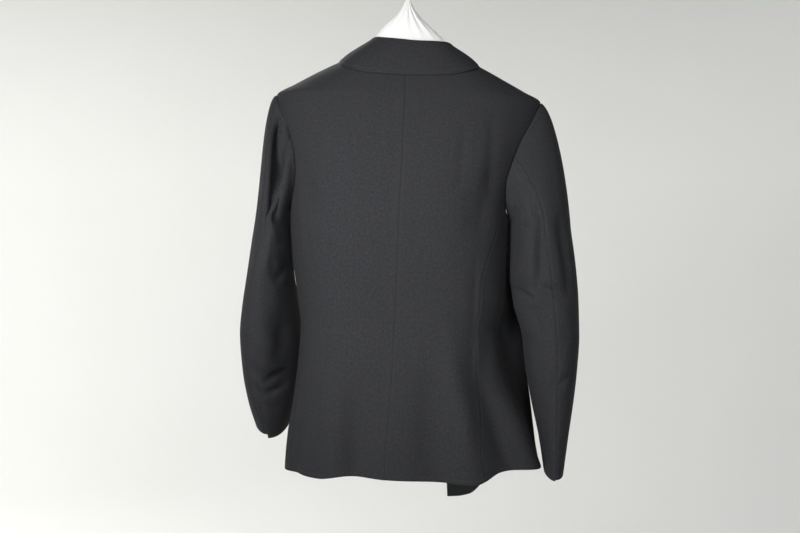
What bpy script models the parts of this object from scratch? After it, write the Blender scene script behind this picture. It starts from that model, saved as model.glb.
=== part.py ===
# Uniform jacket hanging, closed and empty, on its padded hanger.
# Metres, +Z up, the front faces -Y, the wearer's left is +X.
# Origin: the inner top of the hanger's hook, where it is held.
import math
import bpy
import bmesh
import numpy as np
from mathutils import Vector

# Cloth
WALL = 0.0022            # wool with its interlining
GAP = 0.00045            # clearance at the long seams
SET_GAP = 0.0008         # clearance at the armhole, neck and sleeve seams
LIE = 0.0011             # clearance of cloth lying on cloth
COLLAR_LIE = 0.0009      # the collar's edge over the panels
TILT = 0.03              # the jacket hangs with the wearer's left higher
FULLNESS = 0.10          # how square the body section is front to back

# Heights (before the tilt)
TIP_Z = -0.222           # shoulder tip, top of the armhole
ARM_LOW_Z = -0.405       # bottom of the armhole
SLEEVE_Z = -0.430        # first level ring of the sleeve
LOW_Z = -0.820           # nominal hem, bent by the HEM table
BREAK_Z = -0.410         # fronts cross below this
LAPEL_LOW_Z = -0.368
ARM_BACK = 25.0          # armhole half width in degrees round the body
ARM_FRONT = 29.0
OVERLAP = 0.0185         # each front runs this far past the centre

# Buttons and hanger
BUTTON_Z = (-0.435, -0.535, -0.635)
BUTTON_R = 0.0105
BUTTON_H = 0.0040
ARM_REACH = 0.186        # hanger arm from its middle to its end
ARM_DEPTH = 0.0205       # half of its thickness front to back
WIRE_R = 0.0019
HOOK_R = 0.0230          # centre line of the hook


def table(names, rows):
    """Rows of named columns as arrays, in rising order of the first."""
    grid = np.array(sorted(rows), float)
    return {n: grid[:, i] for i, n in enumerate(names.split())}


def read(tab, name, at):
    """Smooth value of a column without overshoot (monotone cubic)."""
    x, y = next(iter(tab.values())), tab[name]
    h = np.diff(x)
    d = np.diff(y) / h
    m = np.zeros(len(x))
    m[0], m[-1] = d[0], d[-1]
    for i in range(1, len(x) - 1):
        if d[i - 1] * d[i] > 0:
            w1, w2 = 2 * h[i] + h[i - 1], h[i] + 2 * h[i - 1]
            m[i] = (w1 + w2) / (w1 / d[i - 1] + w2 / d[i])
    a = np.clip(np.asarray(at, float), x[0], x[-1])
    k = np.clip(np.searchsorted(x, a, side="right") - 1, 0, len(h) - 1)
    s = (a - x[k]) / h[k]
    return ((1 + 2 * s) * (1 - s) ** 2 * y[k] + s * (1 - s) ** 2 * h[k] * m[k]
            + s * s * (3 - 2 * s) * y[k + 1] + s * s * (s - 1) * h[k] * m[k + 1])


def step(a, b, x):
    """0 below a, 1 above b, smooth between."""
    s = np.clip((np.asarray(x, float) - a) / (b - a), 0, 1)
    return s * s * (3 - 2 * s)


BODY = table("z left right back_x back_y front_x front_y side_y", (
    (-0.880, 0.2000, -0.2190, 0.0370, 0.104, -0.0850, -0.104, 0.000),
    (-0.815, 0.1973, -0.2150, 0.0359, 0.101, -0.0820, -0.102, 0.000),
    (-0.764, 0.1928, -0.1980, 0.0344, 0.095, -0.0720, -0.102, 0.000),
    (-0.722, 0.1860, -0.1830, 0.0305, 0.090, -0.0600, -0.100, 0.000),
    (-0.674, 0.1792, -0.1610, 0.0265, 0.084, -0.0480, -0.098, 0.000),
    (-0.624, 0.1736, -0.1472, 0.0233, 0.079, -0.0360, -0.095, 0.000),
    (-0.590, 0.1714, -0.1424, 0.0220, 0.077, -0.0300, -0.094, 0.000),
    (-0.545, 0.1760, -0.1520, 0.0190, 0.080, -0.0240, -0.097, 0.000),
    (-0.480, 0.1845, -0.1556, 0.0166, 0.088, -0.0160, -0.107, 0.000),
    (-0.440, 0.1882, -0.1580, 0.0153, 0.092, -0.0130, -0.112, 0.000),
    (-0.400, 0.1892, -0.1590, 0.0137, 0.094, -0.0100, -0.113, 0.000),
    (-0.360, 0.1915, -0.1660, 0.0115, 0.094, -0.0080, -0.110, 0.000),
    (-0.320, 0.1965, -0.1820, 0.0090, 0.092, -0.0060, -0.105, 0.000),
    (-0.285, 0.2030, -0.1960, 0.0080, 0.089, -0.0050, -0.100, 0.000),
    (-0.250, 0.2110, -0.2080, 0.0060, 0.085, -0.0045, -0.094, 0.000),
    (-0.222, 0.2090, -0.2110, 0.0050, 0.080, -0.0040, -0.088, 0.000),
    (-0.206, 0.1830, -0.1850, 0.0045, 0.076, -0.0040, -0.083, 0.000),
    (-0.190, 0.1540, -0.1560, 0.0038, 0.071, -0.0040, -0.077, 0.000),
    (-0.178, 0.1310, -0.1340, 0.0030, 0.066, -0.0040, -0.070, 0.000),
    (-0.166, 0.1060, -0.1100, 0.0000, 0.0605, -0.0040, -0.061, 0.000),
    (-0.158, 0.0880, -0.0930, -0.0020, 0.0560, -0.0040, -0.054, 0.000),
    (-0.150, 0.0700, -0.0780, -0.0040, 0.0510, -0.0040, -0.046, 0.000),
))

# Largest drape folds: angle round the body (0 = centre back, + = wearer's
# left), how far the fold leans, its ends, width and depth (+ = outwards)
FOLDS = (
    # turn, lean, top, low, width, depth
    (40.0, 60.0, -0.600, -0.900, 11.0, 0.0090),
    (21.0, 20.0, -0.640, -0.900, 8.0, -0.0100),
    (-4.0, 0.0, -0.620, -0.900, 9.0, 0.0045),
    (-19.0, 0.0, -0.600, -0.900, 6.5, -0.0060),
    (-32.0, 0.0, -0.560, -0.900, 7.5, 0.0110),
    (-49.0, 20.0, -0.600, -0.900, 8.5, -0.0130),
    (-70.0, 0.0, -0.640, -0.900, 10.0, 0.0060),
    (64.0, 0.0, -0.660, -0.900, 9.0, -0.0070),
    (-52.0, -60.0, -0.300, -0.460, 8.0, -0.0060),
    (54.0, 40.0, -0.300, -0.440, 8.0, -0.0050),
    (-140.0, 10.0, -0.560, -0.900, 12.0, 0.0060),
    (-160.0, 0.0, -0.640, -0.900, 9.0, -0.0060),
    (150.0, 0.0, -0.640, -0.900, 10.0, -0.0090),
)

# The fronts' flanks swing out past the back towards the sleeves
FLANK = table("z left right", (
    (-0.880, 0.000, 0.014), (-0.815, 0.002, 0.019), (-0.800, 0.003, 0.023),
    (-0.760, 0.004, 0.033), (-0.720, 0.004, 0.043), (-0.680, 0.004, 0.056),
    (-0.620, 0.006, 0.067), (-0.590, 0.008, 0.068), (-0.540, 0.014, 0.048),
    (-0.480, 0.016, 0.040), (-0.440, 0.014, 0.038), (-0.410, 0.006, 0.018),
    (-0.395, 0.000, 0.000)))
FLANK_TURN = 128.0
FLANK_WIDTH = 22.0

HEM = table("turn z", (
    (-190, -0.8730), (-183, -0.8715), (-172, -0.8660), (-165, -0.8530), (-158, -0.8320),
    (-148, -0.8180), (-120, -0.8080),
    (-90, -0.8035), (-60, -0.8035), (-47, -0.8060), (-32, -0.8230), (-18, -0.8200),
    (0, -0.8185), (20, -0.8150), (40, -0.8215), (62, -0.8190), (90, -0.8180),
    (120, -0.8220), (150, -0.8280), (190, -0.8340),
))

NECK = table("turn z", ((0, -0.1700), (35, -0.1685), (65, -0.1610), (90, -0.1530)))

# Front edge above the crossing, measured from the centre front outwards
ROLL = table("z reach", (
    (-0.4100, -0.0185), (-0.3680, 0.0020), (-0.3000, 0.0260), (-0.2400, 0.0465),
    (-0.1960, 0.0620), (-0.1800, 0.0675), (-0.1650, 0.0725), (-0.1560, 0.0745),
))

# Side-back and side-front seams as angles round the body
SEAM = {
    ("back", 1): table("z turn", (
        (-0.880, 70), (-0.790, 71), (-0.730, 72), (-0.665, 73), (-0.588, 74),
        (-0.520, 74), (-0.466, 74), (-0.430, 75), (-0.392, 78))),
    ("back", -1): table("z turn", (
        (-0.880, 37), (-0.790, 37.5), (-0.730, 42), (-0.665, 48), (-0.588, 51),
        (-0.520, 50), (-0.466, 56), (-0.430, 63), (-0.392, 74))),
    ("front", 1): table("z turn", (
        (-0.880, 128), (-0.700, 124), (-0.588, 119), (-0.480, 114), (-0.392, 108))),
    ("front", -1): table("z turn", (
        (-0.880, 130), (-0.700, 126), (-0.588, 120), (-0.480, 114), (-0.392, 108))),
}

# Sleeve rings: four extreme points of each level section, x then y.
# pitch lifts the front of the ring against its back.
SLEEVE = {
    1: table("z out_x out_y in_x in_y back_x back_y front_x front_y pitch", (
        (-0.430, 0.2460, 0.000, 0.1902, -0.030, 0.2180, 0.062, 0.2150, -0.068, 0.00),
        (-0.500, 0.2570, -0.004, 0.1860, -0.046, 0.2280, 0.062, 0.2140, -0.080, 0.00),
        (-0.560, 0.2665, -0.008, 0.1780, -0.066, 0.2350, 0.054, 0.2130, -0.092, 0.04),
        (-0.600, 0.2700, -0.014, 0.1730, -0.078, 0.2370, 0.042, 0.2120, -0.104, 0.12),
        (-0.655, 0.2680, -0.036, 0.1740, -0.094, 0.2370, 0.016, 0.2120, -0.118, 0.24),
        (-0.705, 0.2620, -0.068, 0.1830, -0.106, 0.2330, -0.014, 0.2160, -0.134, 0.32),
        (-0.744, 0.2530, -0.100, 0.1960, -0.116, 0.2280, -0.046, 0.2220, -0.154, 0.38))),
    -1: table("z out_x out_y in_x in_y back_x back_y front_x front_y pitch", (
        (-0.430, -0.2600, 0.000, -0.1640, 0.000, -0.2120, 0.066, -0.2150, -0.070, 0.00),
        (-0.500, -0.2690, 0.000, -0.1630, -0.002, -0.2220, 0.066, -0.2180, -0.072, 0.00),
        (-0.545, -0.2725, 0.000, -0.1680, -0.006, -0.2270, 0.063, -0.2200, -0.074, 0.00),
        (-0.600, -0.2735, 0.000, -0.1830, -0.008, -0.2320, 0.060, -0.2240, -0.078, 0.00),
        (-0.650, -0.2700, 0.000, -0.1885, -0.008, -0.2330, 0.055, -0.2270, -0.082, 0.02),
        (-0.705, -0.2640, 0.000, -0.1980, -0.008, -0.2330, 0.049, -0.2280, -0.084, 0.05),
        (-0.760, -0.2560, 0.000, -0.2100, -0.010, -0.2330, 0.043, -0.2290, -0.086, 0.08),
        (-0.822, -0.2475, -0.002, -0.2198, -0.016, -0.2320, 0.038, -0.2290, -0.088, 0.12))),
}

# Elbow seam, degrees from the sleeve's back towards its outer side
ELBOW = {
    1: table("z turn", ((-0.760, 6), (-0.720, 14), (-0.680, 34), (-0.606, 44),
                        (-0.540, 48), (-0.470, 24), (-0.430, 12), (-0.300, 17))),
    -1: table("z turn", ((-0.840, 2), (-0.600, 0), (-0.430, 0), (-0.300, 0))),
}
INSEAM = 205.0           # inner sleeve seam, same measure

# Sleeve folds: turn (back = 0, outer = 90), lean, ends, width and depth
SLEEVE_FOLDS = {
    1: (
        (22.0, 60.0, -0.235, -0.425, 13.0, -0.0150),
        (-16.0, 0.0, -0.400, -0.500, 14.0, 0.0060),
        (-40.0, 0.0, -0.540, -0.700, 20.0, -0.0080),
        (120.0, 0.0, -0.460, -0.640, 18.0, -0.0050)),
    -1: (
        (34.0, -30.0, -0.390, -0.545, 10.0, -0.0100),
        (-30.0, 0.0, -0.420, -0.560, 14.0, 0.0050),
        (20.0, 0.0, -0.560, -0.620, 12.0, -0.0045),
        (120.0, 0.0, -0.480, -0.660, 18.0, -0.0050)),
}
# Level or slanting creases: height at the back, slope by angle, centre, spread
SLEEVE_CREASES = {
    1: ((-0.662, 0.00030, -10.0, 38.0, 0.010, -0.0060),
        (-0.690, 0.00030, -8.0, 32.0, 0.008, -0.0050)),
    -1: ((-0.530, -0.00015, 6.0, 34.0, 0.010, -0.0070),
         (-0.668, 0.00040, 20.0, 24.0, 0.008, -0.0035)),
}

# Collar: half of it from the centre back to the gorge. turn/z = neck seam,
# fold_* = top of the fold, edge_* = where the outer edge lies on the body
COLLAR = table("row turn z fold_x fold_y fold_z edge_turn edge_z", (
    (0, 0.0, -0.1700, 0.0000, 0.0560, -0.1385, 0.0, -0.1935),
    (1, 30.0, -0.1690, 0.0340, 0.0510, -0.1370, 22.0, -0.1910),
    (2, 60.0, -0.1624, 0.0570, 0.0340, -0.1350, 48.0, -0.1820),
    (3, 89.0, -0.1532, 0.0655, 0.0050, -0.1375, 86.0, -0.1695),
    (4, 119.0, -0.1560, 0.0660, -0.0240, -0.1440, 110.0, -0.1770),
    (5, 137.0, -0.1660, 0.0670, -0.0450, -0.1550, 122.0, -0.1890),
    (6, 149.0, -0.1800, 0.0655, -0.0660, -0.1715, 131.0, -0.2050),
    (7, 155.0, -0.1925, 0.0630, -0.0810, -0.1868, 141.0, -0.2260),
))


def ring_x(z, side):
    return np.where(side > 0, read(BODY, "left", z), read(BODY, "right", z))


def body(turn, z):
    """Outer cloth surface of the body; turn in degrees round from the back."""
    turn, z = np.broadcast_arrays(np.asarray(turn, float), np.asarray(z, float))
    t = np.radians(turn)
    s, c = np.sin(t), np.cos(t)
    side = np.where(s >= 0, read(BODY, "left", z), read(BODY, "right", z))
    mid_x = np.where(c < 0, read(BODY, "front_x", z), read(BODY, "back_x", z))
    mid_y = np.where(c < 0, read(BODY, "front_y", z), read(BODY, "back_y", z))
    full = 1 + FULLNESS * np.sin(2 * t) ** 2
    x = mid_x + (side - mid_x) * np.abs(s)
    y = read(BODY, "side_y", z) + mid_y * np.abs(c) * full
    nx, ny = s * np.abs(mid_y), c * np.abs(side - mid_x)
    size = np.hypot(nx, ny)
    push = 0.0
    for turn0, lean, top, low, width, depth in FOLDS:
        off = (turn - turn0 - lean * (z - top) + 180) % 360 - 180
        push = push + depth * np.exp(-(off / width) ** 2) * step(-top, -top + 0.16, -z) \
            * (1 - step(-low - 0.05, -low, -z))
    away = (np.abs((turn + 180) % 360 - 180) - FLANK_TURN) / FLANK_WIDTH
    flank = np.where(s >= 0, read(FLANK, "left", z), -read(FLANK, "right", z))
    x = x + flank * np.exp(-away ** 2)
    return np.stack([x + push * nx / size, y + push * ny / size, z + TILT * x], -1)


def front_turn(z, reach, side):
    """Angle of a point `reach` outwards from the centre front on one side."""
    cf = read(BODY, "front_x", z)
    own = np.abs(ring_x(z, side) - cf)
    other = np.abs(ring_x(z, -side) - cf)
    reach = np.asarray(reach, float)
    over = np.degrees(np.arcsin(np.clip(np.abs(reach) / np.where(reach >= 0, own, other), 0, 1)))
    return side * np.where(reach >= 0, 180 - over, 180 + over)


def normals(surface, u, v, du, dv):
    """Unit normals of a surface function by central differences."""
    a = surface(u + du, v) - surface(u - du, v)
    b = surface(u, v + dv) - surface(u, v - dv)
    n = np.cross(a, b)
    return n / np.maximum(np.linalg.norm(n, axis=-1, keepdims=True), 1e-12)


def body_out(turn, z):
    """Outward unit normal of the body surface."""
    n = normals(body, turn, z, 0.4, 0.0008)
    p = body(turn, z)
    middle = np.stack([0 * p[..., 0], 0 * p[..., 0], p[..., 2] - 0.10], -1)
    flip = np.sum(n * (p - middle), -1, keepdims=True) < 0
    return np.where(flip, -n, n)


def cloth_body(turn, z, lift, inner):
    """A panel point: `lift` out from the body, on the outer or inner face."""
    depth = np.asarray(lift, float) - WALL * np.asarray(inner, float)
    return body(turn, z) + body_out(turn, z) * depth[..., None]


def new_material(name, colour, rough, metal=0.0):
    mat = bpy.data.materials.new(name)
    mat.use_nodes = True
    shader = mat.node_tree.nodes["Principled BSDF"]
    shader.inputs["Base Color"].default_value = (*colour, 1.0)
    shader.inputs["Roughness"].default_value = rough
    shader.inputs["Metallic"].default_value = metal
    return mat


def add_object(name, bm, material):
    bm.normal_update()
    bmesh.ops.recalc_face_normals(bm, faces=bm.faces)
    mesh = bpy.data.meshes.new(name)
    bm.to_mesh(mesh)
    bm.free()
    mesh.materials.append(material)
    obj = bpy.data.objects.new(name, mesh)
    HOME.objects.link(obj)
    return obj


def walled_grid(name, material, across, along, place):
    """A closed sheet: place(i, j, inner) maps grid lines to both its faces."""
    bm = bmesh.new()
    bmesh.ops.create_grid(bm, x_segments=across, y_segments=along, size=1.0)
    sheet = bmesh.ops.extrude_face_region(bm, geom=bm.faces[:], use_keep_orig=True)
    for item in sheet["geom"]:
        if isinstance(item, bmesh.types.BMVert):
            item.co.z = 1.0
    spots = np.array([v.co[:] for v in bm.verts])
    i = np.round((spots[:, 0] + 1) / 2 * across)
    j = np.round((spots[:, 1] + 1) / 2 * along)
    points = place(i, j, spots[:, 2])
    for vert, point in zip(bm.verts, points):
        vert.co = point
    return add_object(name, bm, material)


def pick(values, index):
    return np.asarray(values, float)[index.astype(int)]


def eased(n, start, end, ends=0.0):
    """n + 1 values from start to end, closer together near both ends."""
    s = np.linspace(0, 1, n + 1)
    return start + (end - start) * (s - ends * np.sin(2 * np.pi * s) / (2 * np.pi))


def arm_edge(z, side, front):
    """Angle of the armhole edge at a height, on the body."""
    mid, half = (TIP_Z + ARM_LOW_Z) / 2, (TIP_Z - ARM_LOW_Z) / 2
    k = np.sqrt(np.clip(1 - ((z - mid) / half) ** 2, 0, 1))
    return 90 + (ARM_FRONT * k if front else -ARM_BACK * k)


def inset(turn, z, gap):
    """gap in metres as degrees round the body at this point."""
    span = np.linalg.norm(body(turn + 0.5, z) - body(turn - 0.5, z), axis=-1)
    return gap / np.maximum(span, 1e-6)


def arm_joint(side, front):
    """Height where a side seam meets the armhole."""
    z = np.linspace(ARM_LOW_Z, ARM_LOW_Z + 0.05, 400)
    seam = read(SEAM[("front" if front else "back", side)], "turn", z)
    hole = arm_edge(z, side, front)
    return z[int(np.argmin(np.abs(seam - hole)))]


def side_limit(z, side, front):
    """Outer edge of a front or back panel: seam, armhole, then shoulder."""
    joint = arm_joint(side, front)
    seam = read(SEAM[("front" if front else "back", side)], "turn", z)
    hole = arm_edge(z, side, front)
    edge = np.where(z < joint, seam, np.where(z < TIP_Z, hole, 90.0))
    own = inset(side * edge, z, GAP * 0.5)
    return edge + (own if front else -own)


SKIRT_Z = (LOW_Z, -0.785, -0.750, -0.715, -0.680, -0.650, -0.620, -0.590,
           -0.560, -0.530, -0.500, -0.470, -0.440, -0.4145)


def panel_rows(top, joint):
    """Heights of a front or back panel's rows, closest at the shoulder."""
    hole = TIP_Z - (TIP_Z - joint) * (np.linspace(1, 0, 10)) ** 1.6
    shoulder = np.linspace(TIP_Z, top, 8)[1:]
    return np.concatenate([SKIRT_Z, hole, shoulder])


def settle(rows, j, turn, top, top_z):
    """Row heights bent to the hem at the bottom and to the neck on top."""
    z = pick(rows, j)
    hem = read(HEM, "z", turn)
    z = z + (hem - LOW_Z) * (1 - step(LOW_Z, LOW_Z + 0.16, z))
    return z + (top_z - top) * step(top - 0.035, top, z)


def seam_low(side, front):
    """Angle of a side seam at the nominal hem."""
    return float(read(SEAM[("front" if front else "back", side)], "turn", LOW_Z))


def back_panel(name, side):
    top, across = -0.1600, 9
    rows = panel_rows(top, arm_joint(side, False))
    share = eased(across, 0.0, 1.0, 0.55)

    def place(i, j, inner):
        u = pick(share, i)
        z = settle(rows, j, side * seam_low(side, False) * u, top, read(NECK, "z", 90 * u))
        first = inset(0 * z, z, GAP * 0.5)
        turn = side * (first + (side_limit(z, side, False) - first) * u)
        return cloth_body(turn, z, 0 * z, inner)
    return walled_grid(name, CLOTH, across, len(rows) - 1, place)


def right_lift(reach):
    """The wearer's right front lies over the left one near the centre."""
    return (WALL + LIE) * (1 - step(0.024, 0.060, reach))


def front_reach(turn, z, side):
    """Distance outwards from the centre front, as in front_turn."""
    cf = read(BODY, "front_x", z)
    own = np.abs(ring_x(z, side) - cf)
    return np.where(np.abs(turn) > 90, np.sin(np.radians(turn)) * side * own, own)


def front_panel(name, side):
    top, across = -0.1530, 9
    rows = panel_rows(top, arm_joint(side, True))
    share = eased(across, 0.0, 1.0, 0.35)
    near = seam_low(side, True)

    def place(i, j, inner):
        u = pick(share, i)
        z = settle(rows, j, side * (near + (184 - near) * u), top, top - 0.003 * u)
        reach = np.where(z < BREAK_Z, -OVERLAP, read(ROLL, "reach", z))
        edge = np.abs(front_turn(z, reach, side))
        start = side_limit(z, side, True)
        turn = start + (edge - start) * u
        lift = 0 * z
        if side < 0:
            lift = right_lift(front_reach(side * turn, z, side))
        return cloth_body(side * turn, z, lift, inner)
    return walled_grid(name, CLOTH, across, len(rows) - 1, place)


def side_panel(name, side):
    across = 6
    rows = np.append(SKIRT_Z, ARM_LOW_Z)
    share = eased(across, 0.0, 1.0, 0.0)
    mid, half = (TIP_Z + ARM_LOW_Z) / 2, (TIP_Z - ARM_LOW_Z) / 2
    low_back, low_front = seam_low(side, False), seam_low(side, True)
    joint_back, joint_front = arm_joint(side, False), arm_joint(side, True)

    def place(i, j, inner):
        u = pick(share, i)
        at_low = low_back + (low_front - low_back) * u
        back_top = arm_edge(joint_back, side, False)
        front_top = arm_edge(joint_front, side, True)
        at_top = back_top + (front_top - back_top) * u
        wide = np.where(at_top > 90, ARM_FRONT, ARM_BACK)
        k = np.clip((at_top - 90) / wide, -1, 1)
        hole = mid - half * np.sqrt(1 - k * k) - GAP
        z = pick(rows, j)
        z = z + (read(HEM, "z", side * at_low) - LOW_Z) * (1 - step(LOW_Z, LOW_Z + 0.16, z))
        z = np.where(z > SKIRT_Z[-1] + 0.002, hole, z)
        a = read(SEAM[("back", side)], "turn", z)
        b = read(SEAM[("front", side)], "turn", z)
        a = a + inset(side * a, z, GAP * 0.5)
        b = b - inset(side * b, z, GAP * 0.5)
        return cloth_body(side * (a + (b - a) * u), z, 0 * z, inner)
    return walled_grid(name, CLOTH, across, len(rows) - 1, place)


def lapel(name, side):
    """The turned-back lapel, lying on its front from the roll line out."""
    across, along = 5, 10
    rows = np.linspace(0, 1, along + 1)

    def place(i, j, inner):
        u, v = i / across, pick(rows, j)
        z0 = LAPEL_LOW_Z + (-0.1965 - LAPEL_LOW_Z) * v
        z1 = LAPEL_LOW_Z - 0.002 + (-0.2460 - LAPEL_LOW_Z) * v
        r0 = read(ROLL, "reach", z0) + 0.0006
        r1 = r0 + 0.008 + 0.060 * v ** 0.75
        z = z0 + (z1 - z0) * u
        reach = r0 + (r1 - r0) * u
        lift = LIE + WALL + 0.0025 * (1 - u) ** 2
        if side < 0:
            lift = lift + right_lift(reach)
        return cloth_body(front_turn(z, reach, side), z, lift, inner)
    return walled_grid(name, CLOTH, across, along, place)


def collar_point(row, w):
    """Middle of the collar's cloth; row -7..7 round the neck, w 0..1 over
    the stand, the fold and the fall."""
    row, w = np.broadcast_arrays(np.clip(row, -7.0, 7.0), np.clip(w, 0.0, 1.0))
    side = np.where(row < 0, -1.0, 1.0)
    k = np.abs(row)

    def seam_line(r):
        q, sd = np.abs(r), np.where(r < 0, -1.0, 1.0)
        z = read(COLLAR, "z", q)
        edge = np.abs(front_turn(z, read(ROLL, "reach", z), np.where(r < 0, -1, 1)))
        turn = read(COLLAR, "turn", q)
        turn = turn + (edge - turn) * step(3.9, 4.1, q)
        return sd * turn, z

    def seam_at(r):
        turn, z = seam_line(r)
        return body(turn, z) - body_out(turn, z) * (WALL * 0.5)
    seam = seam_at(row)
    edge_dir = seam_at(row + 0.02) - seam_at(row - 0.02)
    out = body_out(*seam_line(row))
    up = np.cross(edge_dir, out)
    up = up / np.linalg.norm(up, axis=-1, keepdims=True)
    up = np.where(up[..., 2:3] < 0, -up, up)
    fx = side * read(COLLAR, "fold_x", k) - 0.006
    fz = read(COLLAR, "fold_z", k) + 0.075 * fx
    fold = np.stack([fx, read(COLLAR, "fold_y", k), fz], -1)
    flat = fold - np.array([-0.006, 0.0, 0.0])
    flat[..., 2] = 0
    flat = flat / np.linalg.norm(flat, axis=-1, keepdims=True)
    high = np.array([0, 0, 1.0])
    e_turn, e_z = side * read(COLLAR, "edge_turn", k), read(COLLAR, "edge_z", k)
    lift = COLLAR_LIE + WALL * 0.5
    edge = body(e_turn, e_z) + body_out(e_turn, e_z) * lift
    s0 = seam + up * 1.5 * SET_GAP
    s1 = s0 + up * 0.0035
    inside, outside = fold - flat * 0.0024, fold + flat * 0.0024
    knots = [s0, s1, (s1 + inside) / 2 - flat * 0.0004, inside, fold + high * 0.0022,
             outside, outside * 0.66 + edge * 0.34 + flat * 0.0022,
             outside * 0.30 + edge * 0.70 + flat * 0.0012 + high * 0.001, edge]
    at = np.array([0, 0.09, 0.26, 0.42, 0.50, 0.58, 0.74, 0.88, 1.0])
    stack = np.stack(knots)
    slope = np.gradient(stack, at, axis=0)
    h = np.diff(at)
    n = np.clip(np.searchsorted(at, w, side="right") - 1, 0, len(h) - 1)
    s = ((w - at[n]) / h[n])[..., None]
    cells = tuple(np.indices(w.shape))
    a, b = stack[(n,) + cells], stack[(n + 1,) + cells]
    ma, mb = slope[(n,) + cells], slope[(n + 1,) + cells]
    hn = h[n][..., None]
    return ((1 + 2 * s) * (1 - s) ** 2 * a + s * (1 - s) ** 2 * hn * ma
            + s * s * (3 - 2 * s) * b + s * s * (s - 1) * hn * mb)


def collar(name):
    across, along = 30, 13
    rows = np.linspace(-7, 7, across + 1)
    over = np.array([0, 0.09, 0.26, 0.41, 0.455, 0.50, 0.545, 0.59, 0.66, 0.74, 0.83, 0.92, 0.965, 1])

    def place(i, j, inner):
        r, w = pick(rows, i), pick(over, j)
        n = normals(collar_point, r, w, 0.02, 0.004)
        return collar_point(r, w) + n * (WALL * (0.5 - inner))[..., None]
    return walled_grid(name, CLOTH, across, along, place)


def sleeve_ring(side, turn, z):
    """Level section of a sleeve; turn 0 = back, 90 = outer, 180 = front."""
    tab = SLEEVE[side]
    t = np.radians(turn)
    s, c = np.sin(t), np.cos(t)
    side_x = np.where(s >= 0, read(tab, "out_x", z), read(tab, "in_x", z))
    side_y = np.where(s >= 0, read(tab, "out_y", z), read(tab, "in_y", z))
    mid_x = np.where(c >= 0, read(tab, "back_x", z), read(tab, "front_x", z))
    mid_y = np.where(c >= 0, read(tab, "back_y", z), read(tab, "front_y", z))
    x = mid_x + (side_x - mid_x) * np.abs(s)
    y = side_y + (mid_y - side_y) * np.abs(c)
    drop = -read(tab, "pitch", z) * (y - side_y)
    return np.stack([x, y, z + drop], -1)


def armhole(side, turn, gap):
    """Point of the armhole edge seen along the sleeve: turn 90 = the tip."""
    mid, half = (TIP_Z + ARM_LOW_Z) / 2, (TIP_Z - ARM_LOW_Z) / 2 - gap
    t = np.radians(turn)
    z = mid + half * np.sin(t)
    wide = np.where(np.cos(t) >= 0, -ARM_BACK, ARM_FRONT)
    angle = 90 + wide * np.abs(np.cos(t))
    small = inset(side * angle, z, gap)
    angle = angle + np.where(np.cos(t) >= 0, small, -small) * np.abs(np.cos(t))
    return body(side * angle, z)


def sleeve(side, turn, v):
    """Outer sleeve surface: v 0..1 over the head, 1..2 down to the cuff."""
    turn, v = np.broadcast_arrays(np.asarray(turn, float), np.asarray(v, float))
    tab = SLEEVE[side]
    cuff = tab["z"][0]
    head = np.clip(v, 0, 1)[..., None]
    low_z = SLEEVE_Z + (cuff - SLEEVE_Z) * np.clip(v - 1, 0, 1)
    p0 = armhole(side, turn, 1.2 * SET_GAP)
    p3 = sleeve_ring(side, turn, 0 * v + SLEEVE_Z)
    s = np.sin(np.radians(turn))
    drop = np.linalg.norm(p3 - p0, axis=-1)
    lead = 0.006 + 0.016 * np.clip(s, 0, 1)
    p1 = p0 + np.stack([side * lead, 0.25 * lead * np.cos(np.radians(turn)), -0.15 * lead], -1)
    draw = np.where(side > 0, 0.014, 0.006)
    p2 = p3 + np.stack([-side * draw * np.clip(s, 0, 1), 0 * drop, 0.42 * drop], -1)
    cap = (1 - head) ** 3 * p0 + 3 * head * (1 - head) ** 2 * p1 \
        + 3 * head ** 2 * (1 - head) * p2 + head ** 3 * p3
    point = np.where(head < 1, cap, sleeve_ring(side, turn, low_z))
    z = point[..., 2]
    t = np.radians(turn)
    way = np.stack([side * np.sin(t), np.cos(t), 0 * t], -1)
    push = 0.0
    for turn0, lean, top, low, width, depth in SLEEVE_FOLDS[side]:
        off = (turn - turn0 - lean * (z - top) + 180) % 360 - 180
        push = push + depth * np.exp(-(off / width) ** 2) \
            * step(-top, -top + 0.05, -z) * (1 - step(-low - 0.03, -low, -z))
    for level, slope, turn0, spread, width, depth in SLEEVE_CREASES[side]:
        off = (turn - turn0 + 180) % 360 - 180
        push = push + depth * np.exp(-((z - level - slope * off) / width) ** 2) \
            * np.exp(-(off / spread) ** 2)
    return point + way * np.asarray(push)[..., None]


def sleeve_piece(name, side, upper):
    across = 13 if upper else 10
    rows = np.concatenate([np.linspace(0, 1, 8), 1 + np.linspace(0, 1, 13)[1:]])

    def surface(turn, v):
        return sleeve(side, turn, v)

    def place(i, j, inner):
        v = pick(rows, j)
        z = np.where(v < 1, -0.30 - 0.13 * v, SLEEVE_Z + (SLEEVE[side]["z"][0] - SLEEVE_Z) * (v - 1))
        elbow = read(ELBOW[side], "turn", z)
        size = np.linalg.norm(surface(elbow + 1, v) - surface(elbow - 1, v), axis=-1) / 2
        gap = SET_GAP * 0.5 / np.maximum(size, 2e-4)
        if upper:
            start, end = elbow + gap, INSEAM - gap
        else:
            start, end = INSEAM + gap, 360 + elbow - gap
        turn = start + (end - start) * i / across
        n = normals(surface, turn, v, 0.6, 0.004)
        centre = (surface(turn, v) + surface(turn + 180, v)) / 2
        flip = np.sum(n * (surface(turn, v) - centre), -1, keepdims=True) < 0
        n = np.where(flip, -n, n)
        return surface(turn, v) - n * (WALL * inner)[..., None]
    return walled_grid(name, CLOTH, across, len(rows) - 1, place)


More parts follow.
